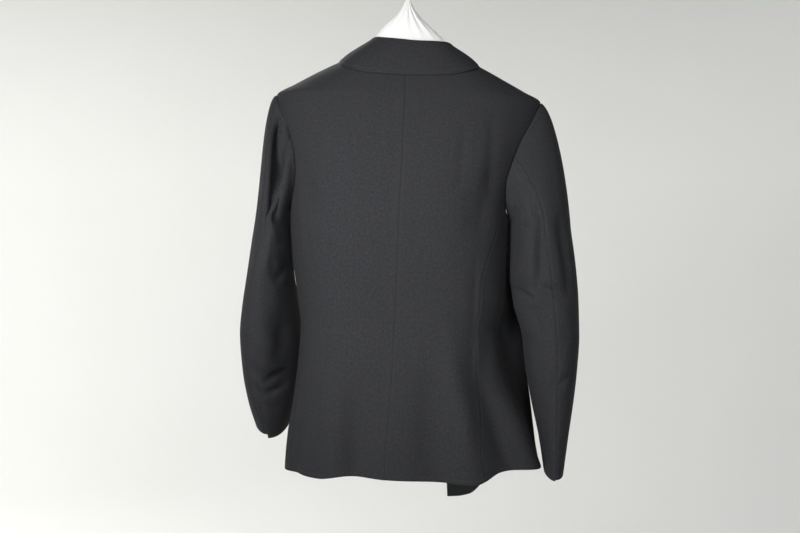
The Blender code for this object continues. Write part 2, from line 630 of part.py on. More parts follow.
def button(name, z):
    """Plain sewn-on button standing just off the right front."""
    turn = front_turn(np.array([z]), np.array([0.0]), -1)
    lift = right_lift(np.array([0.0])) + SET_GAP
    n = body_out(turn, np.array([z]))[0]
    p = cloth_body(turn, np.array([z]), lift, np.array([0.0]))[0]
    bm = bmesh.new()
    bmesh.ops.create_cone(bm, cap_ends=True, segments=18, radius1=BUTTON_R,
                          radius2=BUTTON_R * 0.86, depth=BUTTON_H)
    rims = [e for e in bm.edges if abs(e.verts[0].co.z - e.verts[1].co.z) < 1e-6]
    bmesh.ops.bevel(bm, geom=rims, offset=0.0006, segments=1, profile=0.5,
                    affect="EDGES", material=-1)
    spin = Vector((0, 0, 1)).rotation_difference(Vector(n)).to_matrix()
    for v in bm.verts:
        v.co = Vector(p + n * (BUTTON_H / 2)) + spin @ v.co
    return add_object(name, bm, BUTTON)


def ridge_z(x):
    """Height of the shoulder ridge above a distance from the middle."""
    z = np.linspace(TIP_Z, -0.150, 300)
    width = np.abs(ring_x(z, x))
    inside = np.maximum(width[-1] - np.abs(x), 0)
    return np.interp(np.abs(x), width[::-1], z[::-1]) + 0.5 * inside


# Hanger arm sections by distance along the arm: height and thickness share
ARM = table("share tall thick", (
    (0.00, 0.034, 1.00), (0.40, 0.034, 1.00), (0.75, 0.030, 0.96),
    (0.90, 0.026, 0.86), (0.97, 0.018, 0.62), (1.00, 0.006, 0.25)))
NECK_FLAT_Z = -0.1512    # top of the arms where the neck cover sits
RIDGE_CLEAR = 0.0034     # arms below the shoulder ridge, cloth included
TIP_DROP = 0.006         # rounding down of each arm's end
CONE_LOW_Z = -0.1509
CONE_HIGH_Z = -0.0640
SHANK_Z = -0.0560        # the hook's wire starts to bend here
HOOK_START = -118.0      # degrees round the hook's centre
HOOK_SWEEP = 232.0
HOOK_STEPS = 18
# Gathered cover of the hanger's neck: a concave cone, wider across than deep
CONE = table("z across deep middle", (
    (-0.1509, 0.0590, 0.0190, -0.0050), (-0.1400, 0.0555, 0.0195, -0.0050),
    (-0.1290, 0.0545, 0.0195, -0.0030), (-0.1140, 0.0436, 0.0190, -0.0010),
    (-0.1052, 0.0344, 0.0178, 0.0000), (-0.0910, 0.0200, 0.0140, 0.0000),
    (-0.0780, 0.0104, 0.0092, 0.0000), (-0.0640, 0.0034, 0.0034, 0.0000)))


def hanger_arms(name):
    """One padded bar along both shoulders, flat on top under its neck."""
    around, along = 16, 26
    bm = bmesh.new()
    ring = bmesh.ops.create_circle(bm, cap_ends=False, segments=around, radius=1.0)["verts"]
    angle = {v: math.atan2(v.co.y, v.co.x) for v in ring}
    loops = [ring]
    edges = bm.edges[:]
    for _ in range(along):
        ext = bmesh.ops.extrude_edge_only(bm, edges=edges)["geom"]
        new = [g for g in ext if isinstance(g, bmesh.types.BMVert)]
        for v in new:
            angle[v] = math.atan2(v.co.y, v.co.x)
        edges = [g for g in ext if isinstance(g, bmesh.types.BMEdge)]
        loops.append(new)
    stations = np.sin(np.linspace(-1, 1, along + 1) * math.pi / 2 * 0.92)
    stations = stations / stations[-1] * ARM_REACH
    for x, loop in zip(stations, loops):
        share = abs(x) / ARM_REACH
        tall = float(read(ARM, "tall", share))
        deep = ARM_DEPTH * float(read(ARM, "thick", share))
        top = min(float(ridge_z(x)) - RIDGE_CLEAR, NECK_FLAT_Z)
        top -= TIP_DROP * float(step(0.90, 1.0, share))
        for v in loop:
            a = angle[v]
            c, s = math.cos(a), math.sin(a)
            square = 1.0 if top < NECK_FLAT_Z - 0.0005 else 0.45
            rise = math.copysign(abs(s) ** square, s)
            v.co = (x, deep * c, top - tall / 2 + rise * tall / 2 + TILT * x)
    ends = [[e for e in bm.edges if e.is_boundary and (e.verts[0].co.x < 0) == low]
            for low in (True, False)]
    for edge_loop in ends:
        bmesh.ops.edgeloop_fill(bm, edges=edge_loop)
    return add_object(name, bm, COVER)


def hanger_neck(name):
    """The cone of gathered cloth round the hook's shank."""
    around, along = 24, 12
    bm = bmesh.new()
    bmesh.ops.create_cone(bm, cap_ends=True, segments=around, radius1=1.0, radius2=0.5, depth=2.0)
    sides = [e for e in bm.edges if abs(e.verts[0].co.z - e.verts[1].co.z) > 1]
    bmesh.ops.subdivide_edges(bm, edges=sides, cuts=along - 1, use_grid_fill=True)
    for v in bm.verts:
        share = (v.co.z + 1) / 2
        z = CONE_LOW_Z + (CONE_HIGH_Z - CONE_LOW_Z) * share
        a = math.atan2(v.co.y, v.co.x)
        x = float(read(CONE, "middle", z)) + float(read(CONE, "across", z)) * math.cos(a)
        v.co = (x, float(read(CONE, "deep", z)) * math.sin(a), z + TILT * x)
    return add_object(name, bm, COVER)


def hanger_hook(name):
    """A wire up from the neck and round over the top, its end rounded."""
    path = [(0, CONE_HIGH_Z + 0.0008), (0, SHANK_Z)]
    mid_z = WIRE_R - HOOK_R
    start = math.radians(HOOK_START)
    for k in range(1, 3):
        s = k / 3
        x = HOOK_R * math.cos(start) * s * s
        path.append((x, SHANK_Z + (mid_z + HOOK_R * math.sin(start) - SHANK_Z) * s))
    for k in range(HOOK_STEPS + 1):
        a = start - math.radians(k / HOOK_STEPS * HOOK_SWEEP)
        path.append((HOOK_R * math.cos(a), mid_z + HOOK_R * math.sin(a)))
    curve = bpy.data.curves.new(name, "CURVE")
    curve.dimensions = "3D"
    curve.bevel_depth = WIRE_R
    curve.bevel_resolution = 2
    curve.use_fill_caps = True
    line = curve.splines.new("POLY")
    line.points.add(len(path) - 1)
    for point, (x, z) in zip(line.points, path):
        point.co = (x, 0, z, 1)
    obj = bpy.data.objects.new(name, curve)
    curve.materials.append(METAL)
    HOME.objects.link(obj)
    return obj


for old in list(bpy.data.objects):
    bpy.data.objects.remove(old)
HOME = bpy.data.collections.new("uniform_jacket")
bpy.context.scene.collection.children.link(HOME)
CLOTH = new_material("uniform_wool", (0.035, 0.036, 0.040), 0.85)
BUTTON = new_material("button_dark", (0.030, 0.030, 0.032), 0.40)
COVER = new_material("hanger_cover", (0.86, 0.86, 0.84), 0.80)
METAL = new_material("hook_steel", (0.62, 0.62, 0.62), 0.30, 1.0)

for word, sign in (("left", 1), ("right", -1)):
    back_panel(f"back_{word}", sign)
    side_panel(f"side_{word}", sign)
    front_panel(f"front_{word}", sign)
    lapel(f"lapel_{word}", sign)
    sleeve_piece(f"upper_sleeve_{word}", sign, True)
    sleeve_piece(f"under_sleeve_{word}", sign, False)
collar("collar")
for number, height in enumerate(BUTTON_Z, 1):
    button(f"front_button_{number}", height)
hanger_arms("hanger_arms")
hanger_neck("hanger_neck")
hanger_hook("hanger_hook")
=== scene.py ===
"""Looks of the uniform jacket on its padded hanger, in the CAD frame.

Metres, +Z up, the front faces -Y, the wearer's left is +X.
"""
import math
import bpy
import bmesh
import numpy as np
from mathutils import Matrix, Vector


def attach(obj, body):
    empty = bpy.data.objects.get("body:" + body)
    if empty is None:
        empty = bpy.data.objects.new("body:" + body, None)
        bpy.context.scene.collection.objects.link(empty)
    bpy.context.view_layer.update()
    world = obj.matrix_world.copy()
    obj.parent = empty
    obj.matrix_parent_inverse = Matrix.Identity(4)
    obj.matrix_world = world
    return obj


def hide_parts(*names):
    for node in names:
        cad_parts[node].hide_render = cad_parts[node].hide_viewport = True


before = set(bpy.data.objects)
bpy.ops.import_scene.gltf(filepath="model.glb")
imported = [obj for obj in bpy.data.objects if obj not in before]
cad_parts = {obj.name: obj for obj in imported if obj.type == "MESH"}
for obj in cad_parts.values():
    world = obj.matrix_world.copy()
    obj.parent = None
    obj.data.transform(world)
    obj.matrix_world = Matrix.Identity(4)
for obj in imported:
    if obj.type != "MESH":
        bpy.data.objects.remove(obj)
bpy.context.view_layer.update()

# Photograph: 800 x 533, seen squarely from behind the jacket
PHOTO_W, PHOTO_H = 800, 533
CAMERA_X, CAMERA_Y, CAMERA_Z = 0.0128, 2.4, -0.49
LENS, SENSOR = 67.5, 36.0
PIXEL = SENSOR / LENS / PHOTO_W      # size of a pixel at one metre

# Cloth, as in the CAD
WALL = 0.0022
GAP = 0.00016            # seams are drawn closer here than in the CAD
SET_GAP = 0.00025
LIE = 0.0011
COLLAR_LIE = 0.0009
TILT = 0.03
FULLNESS = 0.10
TIP_Z = -0.222
ARM_LOW_Z = -0.405
SLEEVE_Z = -0.430
LOW_Z = -0.820
BREAK_Z = -0.410
LAPEL_LOW_Z = -0.368
ARM_BACK = 25.0
ARM_FRONT = 29.0
OVERLAP = 0.0185
BUTTON_Z = (-0.435, -0.535, -0.635)
BUTTON_R = 0.0105
BUTTON_H = 0.0040
ARM_REACH = 0.186
ARM_DEPTH = 0.0205
WIRE_R = 0.0019
HOOK_R = 0.0230

# Sewing
EDGE_STITCH = 0.0058     # row of stitches in from a free edge
STITCH_PITCH = 0.0031
STITCH_LONG = 0.0021
THREAD_R = 0.00020


def table(names, rows):
    """Rows of named columns as arrays, in rising order of the first."""
    grid = np.array(sorted(rows), float)
    return {n: grid[:, i] for i, n in enumerate(names.split())}


def read(tab, name, at):
    """Smooth value of a column without overshoot (monotone cubic)."""
    x, y = next(iter(tab.values())), tab[name]
    h = np.diff(x)
    d = np.diff(y) / h
    m = np.zeros(len(x))
    m[0], m[-1] = d[0], d[-1]
    for i in range(1, len(x) - 1):
        if d[i - 1] * d[i] > 0:
            w1, w2 = 2 * h[i] + h[i - 1], h[i] + 2 * h[i - 1]
            m[i] = (w1 + w2) / (w1 / d[i - 1] + w2 / d[i])
    a = np.clip(np.asarray(at, float), x[0], x[-1])
    k = np.clip(np.searchsorted(x, a, side="right") - 1, 0, len(h) - 1)
    s = (a - x[k]) / h[k]
    return ((1 + 2 * s) * (1 - s) ** 2 * y[k] + s * (1 - s) ** 2 * h[k] * m[k]
            + s * s * (3 - 2 * s) * y[k + 1] + s * s * (s - 1) * h[k] * m[k + 1])


def step(a, b, x):
    """0 below a, 1 above b, smooth between."""
    s = np.clip((np.asarray(x, float) - a) / (b - a), 0, 1)
    return s * s * (3 - 2 * s)


# The jacket's named sizes, the same as the CAD part's

BODY = table("z left right back_x back_y front_x front_y side_y", (
    (-0.880, 0.2000, -0.2190, 0.0370, 0.104, -0.0850, -0.104, 0.000),
    (-0.815, 0.1973, -0.2150, 0.0359, 0.101, -0.0820, -0.102, 0.000),
    (-0.764, 0.1928, -0.1980, 0.0344, 0.095, -0.0720, -0.102, 0.000),
    (-0.722, 0.1860, -0.1830, 0.0305, 0.090, -0.0600, -0.100, 0.000),
    (-0.674, 0.1792, -0.1610, 0.0265, 0.084, -0.0480, -0.098, 0.000),
    (-0.624, 0.1736, -0.1472, 0.0233, 0.079, -0.0360, -0.095, 0.000),
    (-0.590, 0.1714, -0.1424, 0.0220, 0.077, -0.0300, -0.094, 0.000),
    (-0.545, 0.1760, -0.1520, 0.0190, 0.080, -0.0240, -0.097, 0.000),
    (-0.480, 0.1845, -0.1556, 0.0166, 0.088, -0.0160, -0.107, 0.000),
    (-0.440, 0.1882, -0.1580, 0.0153, 0.092, -0.0130, -0.112, 0.000),
    (-0.400, 0.1892, -0.1590, 0.0137, 0.094, -0.0100, -0.113, 0.000),
    (-0.360, 0.1915, -0.1660, 0.0115, 0.094, -0.0080, -0.110, 0.000),
    (-0.320, 0.1965, -0.1820, 0.0090, 0.092, -0.0060, -0.105, 0.000),
    (-0.285, 0.2030, -0.1960, 0.0080, 0.089, -0.0050, -0.100, 0.000),
    (-0.250, 0.2110, -0.2080, 0.0060, 0.085, -0.0045, -0.094, 0.000),
    (-0.222, 0.2090, -0.2110, 0.0050, 0.080, -0.0040, -0.088, 0.000),
    (-0.206, 0.1830, -0.1850, 0.0045, 0.076, -0.0040, -0.083, 0.000),
    (-0.190, 0.1540, -0.1560, 0.0038, 0.071, -0.0040, -0.077, 0.000),
    (-0.178, 0.1310, -0.1340, 0.0030, 0.066, -0.0040, -0.070, 0.000),
    (-0.166, 0.1060, -0.1100, 0.0000, 0.0605, -0.0040, -0.061, 0.000),
    (-0.158, 0.0880, -0.0930, -0.0020, 0.0560, -0.0040, -0.054, 0.000),
    (-0.150, 0.0700, -0.0780, -0.0040, 0.0510, -0.0040, -0.046, 0.000),
))

# Largest drape folds: turn, lean, top, low, width, depth
FOLDS = (
    (40.0, 60.0, -0.600, -0.900, 11.0, 0.0090),
    (21.0, 20.0, -0.640, -0.900, 8.0, -0.0100),
    (-4.0, 0.0, -0.620, -0.900, 9.0, 0.0045),
    (-19.0, 0.0, -0.600, -0.900, 6.5, -0.0060),
    (-32.0, 0.0, -0.560, -0.900, 7.5, 0.0110),
    (-49.0, 20.0, -0.600, -0.900, 8.5, -0.0130),
    (-70.0, 0.0, -0.640, -0.900, 10.0, 0.0060),
    (64.0, 0.0, -0.660, -0.900, 9.0, -0.0070),
    (-52.0, -60.0, -0.300, -0.460, 8.0, -0.0060),
    (54.0, 40.0, -0.300, -0.440, 8.0, -0.0050),
    (-140.0, 10.0, -0.560, -0.900, 12.0, 0.0060),
    (-160.0, 0.0, -0.640, -0.900, 9.0, -0.0060),
    (150.0, 0.0, -0.640, -0.900, 10.0, -0.0090),
)

FLANK = table("z left right", (
    (-0.880, 0.000, 0.014), (-0.815, 0.002, 0.019), (-0.800, 0.003, 0.023),
    (-0.760, 0.004, 0.033), (-0.720, 0.004, 0.043), (-0.680, 0.004, 0.056),
    (-0.620, 0.006, 0.067), (-0.590, 0.008, 0.068), (-0.540, 0.014, 0.050),
    (-0.480, 0.022, 0.045), (-0.440, 0.022, 0.044), (-0.420, 0.016, 0.044),
    (-0.405, 0.008, 0.034), (-0.385, 0.000, 0.012), (-0.370, 0.000, 0.000)))
FLANK_TURN = 128.0
FLANK_WIDTH = 18.0

HEM = table("turn z", (
    (-190, -0.8730), (-183, -0.8715), (-172, -0.8660), (-165, -0.8530), (-158, -0.8320),
    (-148, -0.8180), (-120, -0.8080),
    (-90, -0.8035), (-60, -0.8035), (-47, -0.8060), (-32, -0.8230), (-18, -0.8200),
    (0, -0.8185), (20, -0.8150), (40, -0.8215), (62, -0.8190), (90, -0.8180),
    (120, -0.8220), (150, -0.8280), (190, -0.8340),
))

NECK = table("turn z", ((0, -0.1700), (35, -0.1685), (65, -0.1610), (90, -0.1530)))

ROLL = table("z reach", (
    (-0.4100, -0.0185), (-0.3680, 0.0020), (-0.3000, 0.0260), (-0.2400, 0.0465),
    (-0.1960, 0.0620), (-0.1800, 0.0675), (-0.1650, 0.0725), (-0.1560, 0.0745),
))

SEAM = {
    ("back", 1): table("z turn", (
        (-0.880, 70), (-0.790, 71), (-0.730, 72), (-0.665, 73), (-0.588, 74),
        (-0.520, 74), (-0.466, 74), (-0.430, 75), (-0.392, 78))),
    ("back", -1): table("z turn", (
        (-0.880, 37), (-0.790, 37.5), (-0.730, 42), (-0.665, 48), (-0.588, 51),
        (-0.520, 50), (-0.466, 56), (-0.430, 63), (-0.392, 74))),
    ("front", 1): table("z turn", (
        (-0.880, 128), (-0.700, 124), (-0.588, 119), (-0.480, 114), (-0.392, 108))),
    ("front", -1): table("z turn", (
        (-0.880, 130), (-0.700, 126), (-0.588, 120), (-0.480, 114), (-0.392, 108))),
}

SLEEVE = {
    1: table("z out_x out_y in_x in_y back_x back_y front_x front_y pitch", (
        (-0.430, 0.2460, 0.000, 0.1902, -0.030, 0.2180, 0.062, 0.2150, -0.068, 0.00),
        (-0.500, 0.2570, -0.004, 0.1850, -0.046, 0.2280, 0.062, 0.2140, -0.080, 0.00),
        (-0.560, 0.2665, -0.008, 0.1770, -0.066, 0.2350, 0.054, 0.2130, -0.092, 0.04),
        (-0.600, 0.2700, -0.014, 0.1730, -0.078, 0.2370, 0.042, 0.2120, -0.104, 0.12),
        (-0.655, 0.2680, -0.036, 0.1740, -0.094, 0.2370, 0.016, 0.2120, -0.118, 0.24),
        (-0.705, 0.2620, -0.068, 0.1830, -0.106, 0.2330, -0.014, 0.2160, -0.134, 0.32),
        (-0.744, 0.2530, -0.100, 0.1960, -0.116, 0.2280, -0.046, 0.2220, -0.154, 0.38))),
    -1: table("z out_x out_y in_x in_y back_x back_y front_x front_y pitch", (
        (-0.430, -0.2600, 0.000, -0.1640, 0.000, -0.2120, 0.066, -0.2150, -0.070, 0.00),
        (-0.500, -0.2690, 0.000, -0.1630, -0.002, -0.2220, 0.066, -0.2180, -0.072, 0.00),
        (-0.545, -0.2725, 0.000, -0.1680, -0.006, -0.2270, 0.063, -0.2200, -0.074, 0.00),
        (-0.600, -0.2735, 0.000, -0.1830, -0.008, -0.2320, 0.060, -0.2240, -0.078, 0.00),
        (-0.650, -0.2700, 0.000, -0.1885, -0.008, -0.2330, 0.055, -0.2270, -0.082, 0.02),
        (-0.705, -0.2640, 0.000, -0.1980, -0.008, -0.2330, 0.049, -0.2280, -0.084, 0.05),
        (-0.760, -0.2560, 0.000, -0.2100, -0.010, -0.2330, 0.043, -0.2290, -0.086, 0.08),
        (-0.822, -0.2475, -0.002, -0.2198, -0.016, -0.2320, 0.038, -0.2290, -0.088, 0.12))),
}

ELBOW = {
    1: table("z turn", ((-0.760, 6), (-0.720, 14), (-0.680, 34), (-0.606, 44),
                        (-0.540, 48), (-0.470, 24), (-0.430, 12), (-0.300, 17))),
    -1: table("z turn", ((-0.840, 2), (-0.600, 0), (-0.430, 0), (-0.300, 0))),
}
INSEAM = 205.0

SLEEVE_FOLDS = {
    1: (
        (22.0, 60.0, -0.235, -0.425, 13.0, -0.0150),
        (-16.0, 0.0, -0.400, -0.500, 14.0, 0.0060),
        (-40.0, 0.0, -0.540, -0.700, 20.0, -0.0080),
        (120.0, 0.0, -0.460, -0.640, 18.0, -0.0050)),
    -1: (
        (34.0, -30.0, -0.390, -0.545, 14.0, -0.0065),
        (-30.0, 0.0, -0.420, -0.560, 14.0, 0.0050),
        (20.0, 0.0, -0.560, -0.620, 12.0, -0.0045),
        (120.0, 0.0, -0.480, -0.660, 18.0, -0.0050)),
}
SLEEVE_CREASES = {
    1: ((-0.662, 0.00030, -10.0, 38.0, 0.010, -0.0060),
        (-0.690, 0.00030, -8.0, 32.0, 0.008, -0.0050)),
    -1: ((-0.530, -0.00015, 6.0, 34.0, 0.010, -0.0070),
         (-0.668, 0.00040, 20.0, 24.0, 0.008, -0.0035)),
}

COLLAR = table("row turn z fold_x fold_y fold_z edge_turn edge_z", (
    (0, 0.0, -0.1700, 0.0000, 0.0560, -0.1385, 0.0, -0.1935),
    (1, 30.0, -0.1690, 0.0340, 0.0510, -0.1370, 22.0, -0.1910),
    (2, 60.0, -0.1624, 0.0570, 0.0340, -0.1350, 48.0, -0.1800),
    (3, 89.0, -0.1532, 0.0655, 0.0050, -0.1375, 86.0, -0.1650),
    (4, 119.0, -0.1560, 0.0660, -0.0240, -0.1440, 110.0, -0.1770),
    (5, 137.0, -0.1660, 0.0670, -0.0450, -0.1550, 122.0, -0.1890),
    (6, 149.0, -0.1800, 0.0655, -0.0660, -0.1715, 131.0, -0.2050),
    (7, 155.0, -0.1925, 0.0630, -0.0810, -0.1868, 141.0, -0.2260),
))

# Creases that the photograph shows on the back, as lines of its pixels:
# line, half width in pixels, depth in millimetres (+ = ridge), skew
BACK_CREASES = (
    (((467, 122), (464, 150), (460, 190)), 4.0, -1.7, 0.3),
    (((492, 108), (491, 150), (489, 205)), 4.5, -2.1, -0.3),
    (((479, 140), (477, 190), (472, 250)), 5.0, 1.3, 0.0),
    (((476, 250), (475, 300), (472, 385)), 4.0, -1.5, 0.3),
    (((467, 380), (467, 430), (468, 478)), 8.0, 1.1, 0.0),
    (((346, 322), (346, 345), (345, 368)), 5.0, -0.9, -0.2),
    (((334, 398), (334, 425), (333, 456)), 6.0, -1.2, 0.2),
    (((361, 440), (360, 458), (360, 472)), 3.0, -0.9, 0.0),
    (((366, 384), (365, 400), (364, 422)), 6.0, 0.8, 0.0),
    (((312, 120), (310, 165), (306, 215)), 7.0, -0.9, 0.3),
    (((326, 150), (322, 210), (321, 262)), 9.0, 0.7, 0.0),
    (((436, 300), (438, 350), (441, 402)), 8.0, -0.7, -0.2),
    (((424, 395), (424, 430), (426, 475)), 7.0, -0.9, 0.3),
    (((452, 330), (453, 360), (455, 392)), 6.0, 0.6, 0.0),
    (((300, 395), (302, 430), (303, 466)), 6.0, 0.9, -0.2),
    (((340, 92), (356, 108), (362, 128)), 7.0, -0.7, 0.2),
    (((470, 86), (458, 100), (452, 120)), 7.0, -0.7, -0.2),
    (((488, 330), (487, 355), (486, 380)), 5.0, -1.0, 0.0),
    (((500, 300), (494, 306), (484, 309)), 2.5, -0.8, 0.0),
    (((498, 326), (492, 330), (484, 331)), 2.5, -0.6, 0.0),
)
LEFT_SLEEVE_CREASES = (
    (((279, 112), (278.5, 150), (277.5, 190), (277, 226)), 4.0, -19.0, 0.2),
    (((287, 118), (288, 160), (286, 208)), 3.4, 2.2, 0.0),
    (((271, 118), (269, 160), (266, 200), (264, 230)), 4.0, 6.0, 0.0),
    (((273, 226), (273, 262), (279, 288)), 5.0, -4.2, 0.2),
    (((284, 224), (285, 242), (284, 258)), 3.8, 3.4, 0.0),
    (((287, 262), (283, 271), (279, 282)), 2.6, -4.0, 0.2),
    (((268, 150), (264, 200), (262, 250)), 5.0, -1.0, -0.3),
    (((259, 226), (257, 262), (258, 292)), 5.0, 1.1, 0.0),
    (((266, 270), (268, 300), (272, 334)), 5.0, -1.3, 0.2),
    (((287, 369), (276, 376), (264, 383)), 3.0, -5.0, 0.3),
    (((285, 385), (276, 390), (267, 396)), 3.0, -4.4, 0.3),
    (((280, 326), (280, 345), (276, 364)), 5.0, -4.0, 0.2),
    (((284, 403), (276, 406), (268, 411)), 3.0, -1.4, 0.2),
    (((248, 330), (250, 356), (252, 380)), 4.5, -1.1, 0.2),
    (((243, 300), (249, 306), (256, 309)), 2.2, -0.9, 0.0),
    (((246, 344), (252, 347), (259, 347)), 2.2, -0.8, 0.0),
    (((270, 330), (276, 345), (279, 362)), 4.0, 1.4, 0.0),
    (((258, 402), (266, 399), (274, 396)), 2.6, 1.2, 0.0),
)
RIGHT_SLEEVE_CREASES = (
    (((541, 205), (542, 240), (541, 275), (534, 298)), 4.4, -5.5, 0.35),
    (((508, 286), (520, 291), (536, 300)), 3.0, -5.5, 0.4),
    (((513, 298), (521, 316), (532, 338)), 6.0, 2.8, -0.3),
    (((532, 205), (533, 240), (532, 276)), 4.0, 1.8, 0.0),
    (((533, 306), (537, 320), (541, 338)), 3.6, -2.4, 0.0),
    (((557, 374), (553, 386), (547, 400)), 2.6, -1.8, 0.2),
    (((528, 140), (527, 180), (525, 225)), 5.5, 1.2, 0.0),
    (((548, 130), (552, 170), (556, 215)), 6.0, -1.2, 0.3),
    (((525, 232), (523, 256), (518, 282)), 4.5, 1.6, 0.0),
    (((516, 222), (514, 246), (511, 270)), 3.0, -1.6, 0.0),
    (((543, 305), (548, 306), (554, 304)), 1.8, -1.1, 0.0),
    (((545, 325), (549, 324), (554, 322)), 1.8, -0.9, 0.0),
    (((543, 423), (548, 425), (554, 424)), 1.8, -0.9, 0.0),
    (((543, 432), (548, 432), (554, 430)), 1.6, -0.8, 0.0),
    (((544, 444), (549, 443), (554, 443)), 1.8, -0.9, 0.0),
    (((543, 452), (548, 451), (554, 451)), 1.6, -0.7, 0.0),
    (((565, 300), (567, 350), (566, 400)), 5.0, 1.2, 0.0),
    (((540, 356), (543, 400), (547, 440)), 4.5, -1.2, 0.3),
    (((530, 348), (534, 366), (537, 384)), 3.5, 1.3, 0.0),
)
# Like creases on the hidden sides, as lines of millimetres (x, z) seen from
# the front
FRONT_CREASES = (
    (((-128, -330), (-112, -372), (-88, -402)), 8.0, -1.8, 0.3),
    (((-138, -386), (-112, -412), (-70, -432)), 8.0, 1.4, 0.0),
    (((-20, -440), (-60, -452), (-110, -470)), 6.0, -0.9, 0.2),
    (((-24, -540), (-66, -556), (-104, -562)), 6.0, -0.9, -0.2),
    (((-40, -640), (-70, -662), (-98, -700)), 8.0, -1.3, 0.2),
    (((-92, -610), (-104, -690), (-110, -790)), 11.0, 1.5, 0.3),
    (((-62, -690), (-70, -760), (-84, -846)), 9.0, -1.3, -0.2),
    (((-150, -520), (-146, -580), (-156, -640)), 9.0, -1.6, 0.3),
    (((142, -322), (124, -368), (96, -408)), 8.0, -1.8, -0.3),
    (((156, -392), (128, -420), (92, -440)), 8.0, 1.3, 0.0),
    (((34, -452), (72, -470), (118, -482)), 7.0, -1.0, 0.2),
    (((40, -556), (80, -570), (120, -570)), 7.0, -0.9, 0.0),
    (((84, -596), (92, -680), (90, -790)), 11.0, -1.6, 0.3),
    (((124, -620), (136, -700), (140, -800)), 10.0, 1.5, -0.3),
    (((52, -650), (50, -730), (44, -812)), 9.0, 1.0, 0.0),
)
FRONT_SLEEVE_CREASES = (
    (((232, -300), (240, -350), (240, -410)), 8.0, -2.6, 0.3),
    (((214, -440), (226, -470), (244, -482)), 6.0, -2.2, 0.3),
    (((200, -520), (220, -540), (250, -546)), 7.0, -2.6, 0.3),
    (((196, -560), (220, -584), (254, -594)), 7.0, 2.0, 0.0),
    (((190, -604), (212, -626), (248, -634)), 6.0, -2.4, -0.3),
    (((200, -668), (222, -690), (246, -694)), 6.0, -1.6, 0.2),
    (((-236, -292), (-244, -350), (-242, -410)), 8.0, -2.6, -0.3),
    (((-204, -452), (-228, -476), (-254, -484)), 6.0, -2.2, 0.3),
    (((-196, -536), (-224, -552), (-258, -556)), 7.0, -2.4, 0.3),
    (((-204, -590), (-230, -612), (-262, -616)), 7.0, 1.8, 0.0),
    (((-208, -640), (-230, -660), (-256, -664)), 6.0, -2.0, -0.3),
    (((-222, -716), (-236, -734), (-252, -738)), 6.0, -1.4, 0.2),
)


def ring_x(z, side):
    return np.where(side > 0, read(BODY, "left", z), read(BODY, "right", z))


def body(turn, z):
    """Outer cloth surface of the body; turn in degrees round from the back."""
    turn, z = np.broadcast_arrays(np.asarray(turn, float), np.asarray(z, float))
    t = np.radians(turn)
    s, c = np.sin(t), np.cos(t)
    side = np.where(s >= 0, read(BODY, "left", z), read(BODY, "right", z))
    mid_x = np.where(c < 0, read(BODY, "front_x", z), read(BODY, "back_x", z))
    mid_y = np.where(c < 0, read(BODY, "front_y", z), read(BODY, "back_y", z))
    full = 1 + FULLNESS * np.sin(2 * t) ** 2
    x = mid_x + (side - mid_x) * np.abs(s)
    y = read(BODY, "side_y", z) + mid_y * np.abs(c) * full
    nx, ny = s * np.abs(mid_y), c * np.abs(side - mid_x)
    size = np.hypot(nx, ny)
    push = 0.0
    for turn0, lean, top, low, width, depth in FOLDS:
        off = (turn - turn0 - lean * (z - top) + 180) % 360 - 180
        push = push + depth * np.exp(-(off / width) ** 2) * step(-top, -top + 0.16, -z) \
            * (1 - step(-low - 0.05, -low, -z))
    away = (np.abs((turn + 180) % 360 - 180) - FLANK_TURN) / FLANK_WIDTH
    flank = np.where(s >= 0, read(FLANK, "left", z), -read(FLANK, "right", z))
    x = x + flank * np.exp(-away ** 2)
    return np.stack([x + push * nx / size, y + push * ny / size, z + TILT * x], -1)


def front_turn(z, reach, side):
    """Angle of a point `reach` outwards from the centre front on one side."""
    cf = read(BODY, "front_x", z)
    own = np.abs(ring_x(z, side) - cf)
    other = np.abs(ring_x(z, -side) - cf)
    reach = np.asarray(reach, float)
    over = np.degrees(np.arcsin(np.clip(np.abs(reach) / np.where(reach >= 0, own, other), 0, 1)))
    return side * np.where(reach >= 0, 180 - over, 180 + over)


def normals(surface, u, v, du, dv):
    """Unit normals of a surface function by central differences."""
    a = surface(u + du, v) - surface(u - du, v)
    b = surface(u, v + dv) - surface(u, v - dv)
    n = np.cross(a, b)
    return n / np.maximum(np.linalg.norm(n, axis=-1, keepdims=True), 1e-12)


def body_out(turn, z):
    """Outward unit normal of the body surface."""
    n = normals(body, turn, z, 0.4, 0.0008)
    p = body(turn, z)
    middle = np.stack([0 * p[..., 0], 0 * p[..., 0], p[..., 2] - 0.10], -1)
    flip = np.sum(n * (p - middle), -1, keepdims=True) < 0
    return np.where(flip, -n, n)


def eased(n, start, end, ends=0.0):
    """n + 1 values from start to end, closer together near both ends."""
    s = np.linspace(0, 1, n + 1)
    return start + (end - start) * (s - ends * np.sin(2 * np.pi * s) / (2 * np.pi))


def arm_edge(z, side, front):
    """Angle of the armhole edge at a height, on the body."""
    mid, half = (TIP_Z + ARM_LOW_Z) / 2, (TIP_Z - ARM_LOW_Z) / 2
    k = np.sqrt(np.clip(1 - ((z - mid) / half) ** 2, 0, 1))
    return 90 + (ARM_FRONT * k if front else -ARM_BACK * k)


def inset(turn, z, gap):
    """gap in metres as degrees round the body at this point."""
    span = np.linalg.norm(body(turn + 0.5, z) - body(turn - 0.5, z), axis=-1)
    return gap / np.maximum(span, 1e-6)


def arm_joint(side, front):
    """Height where a side seam meets the armhole."""
    z = np.linspace(ARM_LOW_Z, ARM_LOW_Z + 0.05, 400)
    seam = read(SEAM[("front" if front else "back", side)], "turn", z)
    hole = arm_edge(z, side, front)
    return z[int(np.argmin(np.abs(seam - hole)))]


